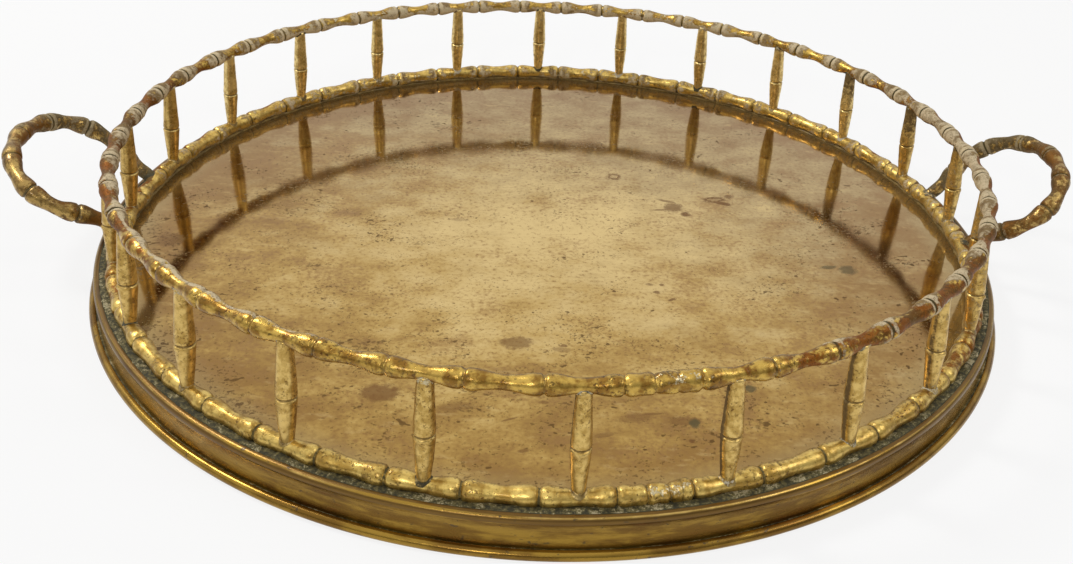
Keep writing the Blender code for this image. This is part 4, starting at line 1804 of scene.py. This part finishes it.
class SolderCollar:
    """The lumpy fillet of soft solder round the end of a rod."""

    SIDES = 28
    RISE_SHARES = (1.0, 0.72, 0.46, 0.24, 0.08, 0.0)
    RISE_POWER = 1.6
    SPREAD_POWER = 2
    ROD_TIMES = 1.03
    RAIL_SHARE = 0.96
    CORE_SHARE = 0.8
    SINK = 0.00008
    LUMP_SIZE = 0.0016
    LUMP_SHARE = 0.45
    LUMP_DEPTH = 0.00012
    LUMP_SEED = 3
    SPREAD_STEP = 5
    CRUST = (0.0, 1.0)
    GREEN = (0.0, 0.75)

    def build(self, joint: Joint, solder: Material, slot: Slot) -> None:
        """Build the collar at one joint.

        Args:
            joint: The joint.
            solder: The material.
            slot: The record's slot of the rod that it holds.
        """
        up = joint.rod_direction / np.linalg.norm(joint.rod_direction)
        along = joint.rail_direction - up * float(joint.rail_direction @ up)
        along = along / np.linalg.norm(along)
        across = np.cross(up, along)
        turns = full_turn(self.SIDES)
        spokes = np.cos(turns)[:, None] * along + np.sin(turns)[:, None] * across
        swell = smooth_noise(joint.seat + spokes * joint.rod_radius, self.LUMP_SIZE, joint.seed)
        rise = joint.rise * (1.0 + self.LUMP_SHARE * swell)
        spread = joint.spread * (1.0 + self.LUMP_SHARE * np.roll(swell, self.SPREAD_STEP))

        rows = []
        sunk = self.RAIL_SHARE * joint.rail_radius
        for share in self.RISE_SHARES:
            out = joint.rod_radius * self.ROD_TIMES + spread * (1.0 - share) ** self.SPREAD_POWER
            sideways = np.clip(np.sin(turns) * out, -sunk, sunk)
            floor = np.sqrt(joint.rail_radius**2 - sideways**2)
            height = floor + rise * share**self.RISE_POWER - self.SINK * (1.0 - share)
            point = (np.cos(turns) * out)[:, None] * along + sideways[:, None] * across
            rows.append(joint.seat + point + height[:, None] * up)
        core = joint.seat + spokes * joint.rod_radius * self.CORE_SHARE
        core_top = core + (rows[0] - joint.seat) @ up[:, None] * up
        rings = np.stack([core_top, *rows, core])
        lumps = smooth_noise(rings[1:-1], self.LUMP_SIZE, joint.seed + self.LUMP_SEED)
        rings[1:-1] += lumps[..., None] * spokes * self.LUMP_DEPTH
        flat = np.ones(rings.shape[:2])
        random = np.random.default_rng(joint.seed)
        paint = {
            Paint.OXIDE_AND_SHADE: flat * random.uniform(*self.CRUST),
            Paint.GRIME: flat * random.uniform(*self.GREEN),
        }
        Skin.tube(rings, paint).build(joint.name, [solder], slot)


@dataclass(frozen=True)
class CollarSizes:
    """How a kind of collar is made: how much wider it is than its rod, its rise and its spread."""

    clearance: float
    rise: float
    spread: float


class Solder:
    """All the solder of the gallery: a collar at both ends of each rod."""

    FOOT = CollarSizes(clearance=0.00015, rise=0.0007, spread=0.0006)
    HEAD = CollarSizes(clearance=-0.0001, rise=0.0005, spread=0.0004)
    HANDLE_FOOT = CollarSizes(clearance=0.0002, rise=0.0016, spread=0.0012)
    SIZE_SEED = 7
    SIZE_TIMES = (0.7, 1.35)
    HANDLE_SEED = 61

    def __init__(self, gallery: GallerySizes, balusters: BalusterSizes, handles: HandleSizes) -> None:
        """Take the sizes of what is soldered.

        Args:
            gallery: The gallery's sizes.
            balusters: The balusters' sizes.
            handles: The handles' sizes.
        """
        self.gallery = gallery
        self.balusters = balusters
        self.handles = handles

    def build(self, solder: Material) -> None:
        """Build every collar.

        Args:
            solder: The material.
        """
        collar = SolderCollar()
        for joint in self._baluster_joints():
            collar.build(joint, solder, Slot.BALUSTER)
        for joint in self._handle_joints():
            collar.build(joint, solder, Slot.HANDLE)

    def _baluster_joints(self) -> list[Joint]:
        """Find the joints at the feet and heads of the balusters.

        Returns:
            The joints, baluster by baluster.
        """
        gallery, sizes = self.gallery, self.balusters
        lower, upper = Rail.ROD[RailSide.LOWER].waist, Rail.ROD[RailSide.UPPER].waist
        random = np.random.default_rng(self.SIZE_SEED)
        joints = []
        for index in range(gallery.baluster_count):
            out = outward(math.radians(index * gallery.bay))
            along = np.cross(UP, out)
            foot = out * gallery.lower_radius + UP * gallery.lower_height
            head = out * gallery.upper_radius + UP * gallery.upper_height
            ends = (
                ("foot", foot, head - foot, sizes.foot, lower, self.FOOT),
                ("head", head, foot - head, sizes.head, upper, self.HEAD),
            )
            for seed, (place, seat, up, rod, rail, kind) in enumerate(ends, 2 * index):
                size = random.uniform(*self.SIZE_TIMES)
                name = f"solder_{place}_{index + 1:02d}"
                rise, spread = kind.rise * size, kind.spread * size
                joints.append(Joint(name, seat, up, along, rod + kind.clearance, rail, rise, spread, seed))
        return joints

    def _handle_joints(self) -> list[Joint]:
        """Find the joints at the feet of the handles.

        Returns:
            The joints, handle by handle.
        """
        kind = self.HANDLE_FOOT
        rod = self.handles.foot_radius + kind.clearance
        rail = Rail.ROD[RailSide.LOWER].waist
        joints = []
        for name in Handle.POSES:
            handle = Handle(name, self.gallery, self.handles)
            origin, across, risen, _ = handle.frame_axes()
            for place, sign in (("front", -1.0), ("back", 1.0)):
                seat = origin + across * handle.foot_across * sign
                along = np.cross(UP, seat * LEVEL / np.linalg.norm(seat * LEVEL))
                seed = self.HANDLE_SEED + len(joints)
                title = f"solder_{name}_{place}"
                joints.append(Joint(title, seat, risen, along, rod, rail, kind.rise, kind.spread, seed))
        return joints


@dataclass(frozen=True)
class PanSizes:
    """The spun pan's outline, in its own half section."""

    sheet: float = 0.0007
    deck_top: float = 0.0116
    deck_edge: float = 0.1702
    crest_radius: float = 0.1724
    shoulder_rise: float = 0.0023
    shoulder_round: float = 0.0017
    shoulder_start: float = 165.0
    shoulder_end: float = -20.0
    shoulder_step: float = 0.00006
    head_drop: float = 0.0002
    curl_inside: float = 0.00095
    curl_start: float = -180.0
    curl_end: float = 115.0
    bead_offset: float = 0.0028
    skirt_hollow: float = 0.0009
    ease_shares: tuple[float, float] = (0.30, 0.72)

    @property
    def bead_radius(self) -> float:
        """Return the radius of the ring that the wire lies on."""
        return self.crest_radius + self.bead_offset

    @property
    def bead_height(self) -> float:
        """Return the height of the wire's centre."""
        return self.curl_inside + self.sheet


class Pan:
    """The spun pan: polished deck, rounded shoulder, hollow skirt and the curl round its wire."""

    STEPS = 400
    DECK_RINGS = 44
    DECK_CROWDING = 0.8
    SHOULDER_RINGS = 20
    SKIRT_RINGS = 20
    CURL_RINGS = 30
    SAG_REACH = 0.150
    SAG_DEPTH = 0.0009
    WAVE_SIZE = 0.050
    WAVE_DEPTH = 0.00007
    WAVE_SEED = 3
    STEADY = (0.166, 0.150)
    DENT_SIZE = 0.028
    DENT_DEPTH = 0.00016
    DENT_SEED = 5
    # The zones of the section, in order.
    DECK, SHOULDER, SKIRT = 0, 1, 2

    SIDES = (Spread(195.0, 70.0), Spread(340.0, 60.0))
    CHANNEL = (0.1628, 0.1676)
    # Heights and radii, counted from the deck, the crest or the bead.
    INNER_SHOULDER = (0.0001, -0.0007)
    # Where the painted highlight line lies on the shoulder, counted from the crest's radius, and how wide it
    # is.
    CREST_OFFSET = 0.0010
    CREST_REACH = 0.0005
    UNDER_SHOULDER = (-0.0016, 0.0002)
    OVER_BEAD = (0.0032, 0.0004)
    GROOVE = (0.0014, 0.0004)
    # How strong the painted highlight on the crest and the painted reflection on the skirt's sides are.
    CREST_HIGHLIGHT = 0.62
    SIDE_REFLECTION = 0.85
    TARNISH_LEVEL = 0.20
    TARNISH_SIDES = 0.22
    TARNISH_UNDER_SHOULDER = 0.30
    TARNISH_OVER_BEAD = 0.22
    # Painted shade, laid through the oxide paint: a dark line under the shoulder, a dark band above the bead
    # and darkening on the shoulder at the sides.
    SHADE_UNDER_SHOULDER = 0.26
    SHADE_OVER_BEAD = 0.50
    SHADE_SIDES = 0.46
    GREEN_SHOULDER = 0.8
    GREEN_GROOVE = 0.65

    def __init__(self, sizes: PanSizes) -> None:
        """Take the pan's sizes."""
        self.sizes = sizes

    def _outline(self) -> tuple[Array, Array]:
        """Draw the upper skin's outline.

        Returns:
            The outline as (radius, height), and the zone that each of its points lies in.
        """
        sizes = self.sizes
        deck_radii = sizes.deck_edge * np.linspace(0.0, 1.0, self.DECK_RINGS)[1:] ** self.DECK_CROWDING
        deck = np.column_stack([deck_radii, np.full_like(deck_radii, sizes.deck_top)])
        centre = (sizes.crest_radius, sizes.deck_top + sizes.shoulder_rise - sizes.shoulder_round)
        turns = (sizes.shoulder_start, sizes.shoulder_end)
        shoulder = arc(centre, sizes.shoulder_round, *turns, self.SHOULDER_RINGS)
        head = shoulder[-1] - np.array([sizes.shoulder_step, sizes.head_drop])
        foot = np.array([sizes.bead_radius - sizes.curl_inside, sizes.bead_height])
        drop = head[1] - foot[1]
        hollow = head[0] - sizes.skirt_hollow
        first, second = sizes.ease_shares
        controls = (head, (hollow, head[1] - drop * first), (hollow, head[1] - drop * second), foot)
        skirt = bezier(controls, self.SKIRT_RINGS)[:-1]
        wire = (sizes.bead_radius, sizes.bead_height)
        curl = arc(wire, sizes.curl_inside, sizes.curl_start, sizes.curl_end, self.CURL_RINGS)
        parts = (deck, shoulder, skirt, curl)
        zones = np.concatenate([np.full(len(part), zone) for zone, part in enumerate(parts)])
        return np.vstack(parts), zones

    def _inner(self, outline: Array) -> Array:
        """Draw the other skin of the sheet, a sheet's thickness away.

        Args:
            outline: The upper skin's outline.

        Returns:
            The other skin's outline.
        """
        ahead = np.gradient(outline, axis=0)
        ahead = ahead / np.linalg.norm(ahead, axis=1, keepdims=True)
        inward = np.column_stack([ahead[:, 1], -ahead[:, 0]])
        return outline + inward * self.sizes.sheet

    def build(self, deck: Material, skirt: Material) -> None:
        """Build the pan.

        Args:
            deck: The material of the polished floor.
            skirt: The material of everything else.
        """
        outline, zones = self._outline()
        profile = np.vstack([outline, self._inner(outline)[::-1]])
        zone = np.concatenate([zones, zones[::-1]])
        radius, height = profile[:, 0], profile[:, 1]
        turns = full_turn(self.STEPS)
        outs = outward(turns)
        rings = radius[:, None, None] * outs[None, :, :]
        rings[..., 2] = height[:, None]
        wave = smooth_noise(rings * LEVEL, self.WAVE_SIZE, self.WAVE_SEED)
        wave = wave * self.WAVE_DEPTH * eased(radius, *self.STEADY)[:, None]
        sag = 0.5 + 0.5 * np.cos(math.pi * np.clip(radius / self.SAG_REACH, 0.0, 1.0))
        rings[..., 2] += wave - (sag * self.SAG_DEPTH)[:, None]
        dent = smooth_noise(rings, self.DENT_SIZE, self.DENT_SEED) * (zone == self.SKIRT)[:, None]
        rings += outs[None, :, :] * (dent * self.DENT_DEPTH)[..., None]

        skin = Skin.tube(rings, self._paint(profile, zone, np.degrees(turns)[None, :]))
        # The polished finish lies on the deck's own faces and on the cap in its middle.
        row_zone = np.maximum(zone[:-1], zone[1:])
        row_zone[len(outline) - 1 :] = self.SHOULDER
        finishes = np.repeat((row_zone > self.DECK).astype(int), self.STEPS)
        skin.finishes = np.concatenate([finishes, np.tile([0, 1], self.STEPS)])
        skin.build("pan_sheet", [deck, skirt], Slot.DECK, ["tray_pan"])

    def _paint(
        self, profile: Array, zone: Array, azimuths: Array
    ) -> Painting:
        """Return the pan's paint.

        Args:
            profile: The section's points, as (radius, height).
            zone: Each point's zone.
            azimuths: Each column's azimuth, as (1, column).

        Returns:
            The paint, as (row, column).
        """
        radius = profile[:, :1]
        from_crest = radius - self.sizes.crest_radius
        from_deck = profile[:, 1:] - self.sizes.deck_top
        from_bead = profile[:, 1:] - self.sizes.bead_height
        zones = (self.DECK, self.SHOULDER, self.SKIRT)
        on_deck, on_shoulder, on_skirt = (zone[:, None] == part for part in zones)
        flat = np.ones_like(radius * azimuths)
        side = sum(place.over(azimuths) for place in self.SIDES)
        channel = on_deck * eased(radius, *self.CHANNEL)
        inner_shoulder = on_shoulder * eased(from_crest, *self.INNER_SHOULDER)
        # A thin painted highlight along the shoulder near its crest.
        off_crest = np.abs(from_crest - self.CREST_OFFSET) / self.CREST_REACH
        crest = on_shoulder * np.clip(1.0 - off_crest, 0.0, 1.0)
        under_shoulder = on_skirt * eased(from_deck, *self.UNDER_SHOULDER)
        over_bead = on_skirt * eased(from_bead, *self.OVER_BEAD)
        groove = on_skirt * eased(from_bead, *self.GROOVE)

        tarnish = self.TARNISH_LEVEL + self.TARNISH_SIDES * side * on_skirt
        tarnish = tarnish + self.TARNISH_UNDER_SHOULDER * under_shoulder + self.TARNISH_OVER_BEAD * over_bead
        # Painted shade under the shoulder, above the bead and on the shoulder at the sides.
        shades = (
            self.SHADE_UNDER_SHOULDER * under_shoulder * flat,
            self.SHADE_OVER_BEAD * over_bead * flat,
            self.SHADE_SIDES * side * on_shoulder * (1.0 - crest),
        )
        greens = (channel, self.GREEN_SHOULDER * inner_shoulder, self.GREEN_GROOVE * groove)
        return {
            # Painted highlight on the crest and painted reflection on the skirt's sides.
            Paint.CUT: np.maximum(self.CREST_HIGHLIGHT * crest, self.SIDE_REFLECTION * side * on_skirt),
            Paint.TARNISH_AND_SHADE: tarnish * flat,
            # Painted shade on the shoulder, away from its highlight line.
            Paint.LIP_AND_SHADE: on_shoulder * (1.0 - crest) * flat,
            Paint.OXIDE_AND_SHADE: np.maximum.reduce(shades),
            Paint.GRIME: np.maximum.reduce(greens) * flat,
        }


@dataclass(frozen=True)
class CrustRing:
    """The size and place of a ring of verdigris, and how ragged it is."""

    name: str
    radius: float
    height: float
    half_width: float
    half_thickness: float
    lump_size: float
    ragged: float
    seed: int
    steps: int = 900
    sides: int = 12
    crumb_size: float = 0.0011
    crumb_share: float = 0.25


class Crusts:
    """The rings of crust outside the lower rail and above the wired edge, and the rail's own seam."""

    SEAM = CrustRing(
        "seam_under_rail", radius=0.1663, height=0.0118, half_width=0.0018, half_thickness=0.0009,
        lump_size=0.0040, ragged=0.25, seed=83,
    )
    CHANNEL = CrustRing(
        "crust_channel", radius=0.1703, height=0.0129, half_width=0.0024, half_thickness=0.0011,
        lump_size=0.0030, ragged=0.40, seed=71,
    )
    # This one's place is counted from where the skirt meets the bead.
    BEAD = CrustRing(
        "crust_bead", radius=-0.0001, height=0.0007, half_width=0.0006, half_thickness=0.0004,
        lump_size=0.0050, ragged=0.50, seed=79,
    )

    def __init__(self, pan: PanSizes) -> None:
        """Work out where the ring on the bead lies."""
        radius = pan.bead_radius - pan.curl_inside + self.BEAD.radius
        self.bead = replace(self.BEAD, radius=radius, height=pan.bead_height + self.BEAD.height)

    def build(self, crust: Material, seam: Material) -> None:
        """Build every ring.

        Args:
            crust: The crust's material.
            seam: The material of the seam that holds the rail on the deck.
        """
        for ring, material in ((self.CHANNEL, crust), (self.bead, crust), (self.SEAM, seam)):
            self._one(ring, material)

    def _one(self, ring: CrustRing, crust: Material) -> None:
        """Build one ring.

        Args:
            ring: Its sizes.
            crust: Its material.
        """
        around = full_turn(ring.sides)
        outs = outward(full_turn(ring.steps))
        centres = outs * ring.radius + UP * ring.height
        width = ring.half_width * (1.0 + ring.ragged * smooth_noise(centres, ring.lump_size, ring.seed))
        swell = smooth_noise(centres, ring.lump_size, ring.seed + 1)
        thick = ring.half_thickness * (1.0 + ring.ragged * swell)
        level = outs[:, None, :] * (np.cos(around)[None, :] * width[:, None])[..., None]
        raised = UP * (np.sin(around)[None, :] * thick[:, None])[..., None]
        rings = centres[:, None, :] + level + raised
        crumbs = smooth_noise(rings, ring.crumb_size, ring.seed + 2)[..., None] * ring.crumb_share
        rings = rings + crumbs * (level + raised)
        Skin.tube(rings, {}, closed=True).build(ring.name, [crust], Slot.DECK)


@dataclass(frozen=True)
class PhotoCamera:
    """The camera that took the photograph, found from the tray's ellipses."""

    frame_width: int = 1073
    frame_height: int = 564
    focal_pixels: float = 1139.0
    sensor_width: float = 36.0
    centre_across: float = 578.08
    centre_down: float = 216.17
    location: Triple = (-0.02749, -0.40982, 0.23280)
    heading: float = 5.34
    pitch: float = 27.8
    roll: float = 3.47
    nearest: float = 0.01

    def axes(self) -> tuple[Vector, Vector, Vector]:
        """Work out how the camera is turned.

        Returns:
            Its right, up and forward directions.
        """
        heading, pitch, roll = (math.radians(turn) for turn in (self.heading, self.pitch, self.roll))
        level = Vector((math.sin(heading), math.cos(heading), 0.0))
        forward = level * math.cos(pitch) - Vector((0.0, 0.0, math.sin(pitch)))
        flat_right = Vector((math.cos(heading), -math.sin(heading), 0.0))
        flat_up = flat_right.cross(forward)
        right = flat_right * math.cos(roll) + flat_up * math.sin(roll)
        return right, right.cross(forward), forward

    def on_level(self, across: float, down: float, height: float) -> Vector:
        """Return the point at a height that shows at a pixel of the photograph.

        Args:
            across: The pixel's column.
            down: The pixel's row.
            height: The height of the level plane.

        Returns:
            The point.
        """
        right, up, forward = self.axes()
        ray = forward * self.focal_pixels
        ray = ray + right * (across - self.centre_across) - up * (down - self.centre_down)
        start = Vector(self.location)
        return start + ray * ((height - start.z) / ray.z)

    def build(self) -> None:
        """Make the scene's camera."""
        data = bpy.data.cameras.new("photograph_camera")
        data.sensor_fit = "HORIZONTAL"
        data.sensor_width = self.sensor_width
        data.lens = self.sensor_width * self.focal_pixels / self.frame_width
        data.shift_x = (self.frame_width / 2.0 - self.centre_across) / self.frame_width
        data.shift_y = (self.centre_down - self.frame_height / 2.0) / self.frame_width
        data.clip_start = self.nearest
        right, up, forward = self.axes()
        turned = Matrix((right, up, -forward)).transposed().to_4x4()
        camera = bpy.data.objects.new("photograph_camera", data)
        camera.matrix_world = Matrix.Translation(self.location) @ turned
        bpy.context.scene.collection.objects.link(camera)
        bpy.context.scene.camera = camera


@dataclass(frozen=True)
class Softbox:
    """One soft lamp, aimed at the tray."""

    name: str
    location: Triple
    size: float
    watts: float


class Studio:
    """A pale floor, a white world and soft lamps."""

    WHITE = (1.0, 1.0, 1.0, 1.0)
    FLOOR_HALF = 3.0
    FLOOR_COLOUR = tint(240, 239, 237)
    FLOOR_ROUGHNESS = 0.6
    FLOOR_WHITENING = 0.82
    # How bright the world is as light, and in mirrors at the horizon and behind the camera.
    WORLD_LEVEL = 0.42
    HORIZON_LEVEL = 0.30
    FRONT_LEVEL = 0.44
    OVERHEAD = (-0.05, 0.48)
    BRIGHT_SIDE = Vector((-0.35, 0.62, 0.70))
    FACING = (-0.35, 0.55)
    LAMPS = (
        Softbox("key_softbox", (-0.75, 0.35, 1.05), size=0.35, watts=7.0),
        Softbox("fill_softbox", (0.95, -0.35, 0.95), size=0.55, watts=2.6),
        Softbox("front_softbox", (-0.35, -1.15, 0.75), size=0.24, watts=2.1),
    )

    def build(self) -> None:
        """Build the floor, the world and the lamps."""
        self._floor()
        self._world()
        for lamp in self.LAMPS:
            self._lamp(lamp)
        bpy.context.scene.view_settings.view_transform = "Standard"

    def _floor(self) -> None:
        """Build the floor, white to the camera apart from the tray's shadow."""
        half = self.FLOOR_HALF
        mesh = bpy.data.meshes.new("studio_floor")
        corners = [(-half, -half, 0.0), (half, -half, 0.0), (half, half, 0.0), (-half, half, 0.0)]
        mesh.from_pydata(corners, [], [(0, 1, 2, 3)])
        floor = bpy.data.objects.new("studio_floor", mesh)
        floor.location.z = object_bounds()[0].z
        bpy.context.scene.collection.objects.link(floor)
        material = bpy.data.materials.new("studio_paper")
        material.use_nodes = True
        graph = Graph(material.node_tree)
        matt = {"Color": (*self.FLOOR_COLOUR, 1.0), "Roughness": self.FLOOR_ROUGHNESS}
        paper = graph.node("ShaderNodeBsdfDiffuse", None, matt)
        white = graph.node("ShaderNodeEmission", None, {"Color": self.WHITE, "Strength": 1.0})
        share = self._seen(graph) * self.FLOOR_WHITENING
        mixed = graph.node("ShaderNodeMixShader", None, {0: share, 1: paper, 2: white})
        graph.node("ShaderNodeOutputMaterial", None, {"Surface": mixed})
        mesh.materials.append(material)
        floor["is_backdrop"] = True

    def _seen(self, graph: Graph) -> Value:
        """Tell the rays that show what they meet from those that only carry light.

        Args:
            graph: The graph that it is added to.

        Returns:
            1 for rays from the camera, or from a mirror or glass, and 0 for the others.
        """
        camera = graph.node("ShaderNodeLightPath", None, None, "Is Camera Ray")
        return camera.most(camera.other("Is Glossy Ray")).most(camera.other("Is Transmission Ray"))

    def _world(self) -> None:
        """Build the world: white where it is seen, softer as light, dimmer behind the camera in mirrors."""
        world = bpy.data.worlds.new("studio_world")
        world.use_nodes = True
        bpy.context.scene.world = world
        graph = Graph(world.node_tree)
        direction = graph.node("ShaderNodeTexCoord", None, None, "Generated")
        towards = {0: direction, 1: self.BRIGHT_SIDE.normalized()}
        facing = graph.node("ShaderNodeVectorMath", {"operation": "DOT_PRODUCT"}, towards, "Value")
        height = graph.node("ShaderNodeSeparateXYZ", None, {"Vector": direction}, "Z")
        camera = graph.node("ShaderNodeLightPath", None, None, "Is Camera Ray")
        overhead = self.HORIZON_LEVEL + (1.0 - self.HORIZON_LEVEL) * height.rise(*self.OVERHEAD)
        front = self.FRONT_LEVEL + (1.0 - self.FRONT_LEVEL) * facing.rise(*self.FACING)
        seen_level = camera + (1.0 - camera) * (overhead * front)
        seen = self._seen(graph)
        strength = seen * seen_level + (1.0 - seen) * self.WORLD_LEVEL
        sky = graph.node("ShaderNodeBackground", None, {"Color": self.WHITE, "Strength": strength})
        graph.node("ShaderNodeOutputWorld", None, {"Surface": sky})

    def _lamp(self, lamp: Softbox) -> None:
        """Build one lamp.

        Args:
            lamp: Its sizes and place.
        """
        data = bpy.data.lights.new(lamp.name, "AREA")
        data.shape = "DISK"
        data.size = lamp.size
        data.energy = lamp.watts
        made = bpy.data.objects.new(lamp.name, data)
        made.location = lamp.location
        made.rotation_euler = (-Vector(lamp.location)).to_track_quat("-Z", "Y").to_euler()
        bpy.context.scene.collection.objects.link(made)


DECK_MARKS = (
    Mark(673.5, 206.0, 0.0074, 0.0080, 0.0, 0.85),
    Mark(685.5, 213.0, 0.0038, 0.0042, 0.0, 1.0),
    Mark(661.0, 208.5, 0.0080, 0.0014, 4.0, 0.8),
    Mark(667.0, 200.0, 0.0090, 0.0018, -25.0, 0.8),
    Mark(724.0, 203.0, 0.0060, 0.0028, -20.0, 1.0),
    Mark(657.0, 291.0, 0.0024, 0.0022, 0.0, 0.9),
    Mark(661.5, 283.5, 0.0018, 0.0016, 0.0, 0.9),
    Mark(672.0, 298.5, 0.0034, 0.0014, 30.0, 0.9),
    Mark(650.0, 283.0, 0.0034, 0.0020, 0.0, 0.6),
    Mark(829.0, 267.0, 0.0064, 0.0024, 10.0, 0.75, sooty=True),
    Mark(848.0, 270.0, 0.0060, 0.0066, -20.0, 0.75, sooty=True),
    Mark(169.0, 239.5, 0.0100, 0.0100, 0.0, 0.5),
    Mark(714.0, 199.0, 0.0090, 0.0050, 8.0, 1.0, hollow=True),
    Mark(728.0, 196.0, 0.0040, 0.0030, 0.0, 0.8),
    Mark(614.0, 175.5, 0.0060, 0.0064, 0.0, 0.95, hollow=True),
    Mark(380.0, 392.0, 0.0120, 0.0090, 0.0, 0.95),
    Mark(517.0, 342.0, 0.0110, 0.0070, 0.0, 0.75),
    Mark(694.5, 423.0, 0.0034, 0.0040, 0.0, 1.0, sooty=True),
    Mark(684.0, 421.0, 0.0100, 0.0044, 0.0, 0.6),
    Mark(636.0, 418.0, 0.0110, 0.0044, 12.0, 0.5),
    Mark(562.0, 349.0, 0.0060, 0.0030, -10.0, 0.5),
    Mark(460.0, 218.0, 0.0070, 0.0026, 0.0, 0.4),
    Mark(455.0, 407.0, 0.0120, 0.0050, 10.0, 0.4),
    Mark(749.0, 388.0, 0.0042, 0.0040, 0.0, 0.9, sooty=True),
    Mark(692.0, 441.0, 0.0018, 0.0018, 0.0, 0.9),
    Mark(523.5, 451.0, 0.0034, 0.0016, 8.0, 0.8),
    Mark(604.0, 435.0, 0.0070, 0.0022, 14.0, 0.5),
    Mark(652.0, 414.0, 0.0080, 0.0012, 6.0, 0.7),
    Mark(510.0, 419.0, 0.0050, 0.0010, 22.0, 0.8),
    Mark(544.0, 402.0, 0.0028, 0.0018, 0.0, 0.7),
    Mark(564.0, 345.0, 0.0022, 0.0020, 0.0, 0.8),
)


def dress_wire() -> None:
    """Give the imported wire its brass."""
    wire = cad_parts["rim_wire"]
    wire.data.materials.clear()
    wire.data.materials.append(WIRE_BRASS.material())
    for polygon in wire.data.polygons:
        polygon.material_index = 0


def main() -> None:
    """Build the studio, then the tray's pieces in order."""
    logging.basicConfig(level=logging.INFO, format="%(message)s")
    camera = PhotoCamera()
    camera.build()
    Studio().build()
    gallery, pan, balusters, handles = GallerySizes(), PanSizes(), BalusterSizes(), HandleSizes()
    marks = tuple((mark, camera.on_level(mark.across, mark.down, pan.deck_top)) for mark in DECK_MARKS)
    Pan(pan).build(DeckBrass(marks).material(), SKIRT_BRASS.material())
    Rail(RailSide.UPPER, gallery).build(RAIL_BRASS.material())
    Rail(RailSide.LOWER, gallery).build(LOW_RAIL_BRASS.material())
    Balusters(gallery, balusters).build(BALUSTER_BRASS.material(), PALE_BALUSTER_BRASS.material())
    handle_brass = HANDLE_BRASS.material()
    for name in Handle.POSES:
        Handle(name, gallery, handles).build(handle_brass)
    Solder(gallery, balusters, handles).build(SOFT_SOLDER.material())
    Crusts(pan).build(VERDIGRIS.material(), SEAM_BRASS.material())
    dress_wire()


if __name__ == "__main__":
    main()
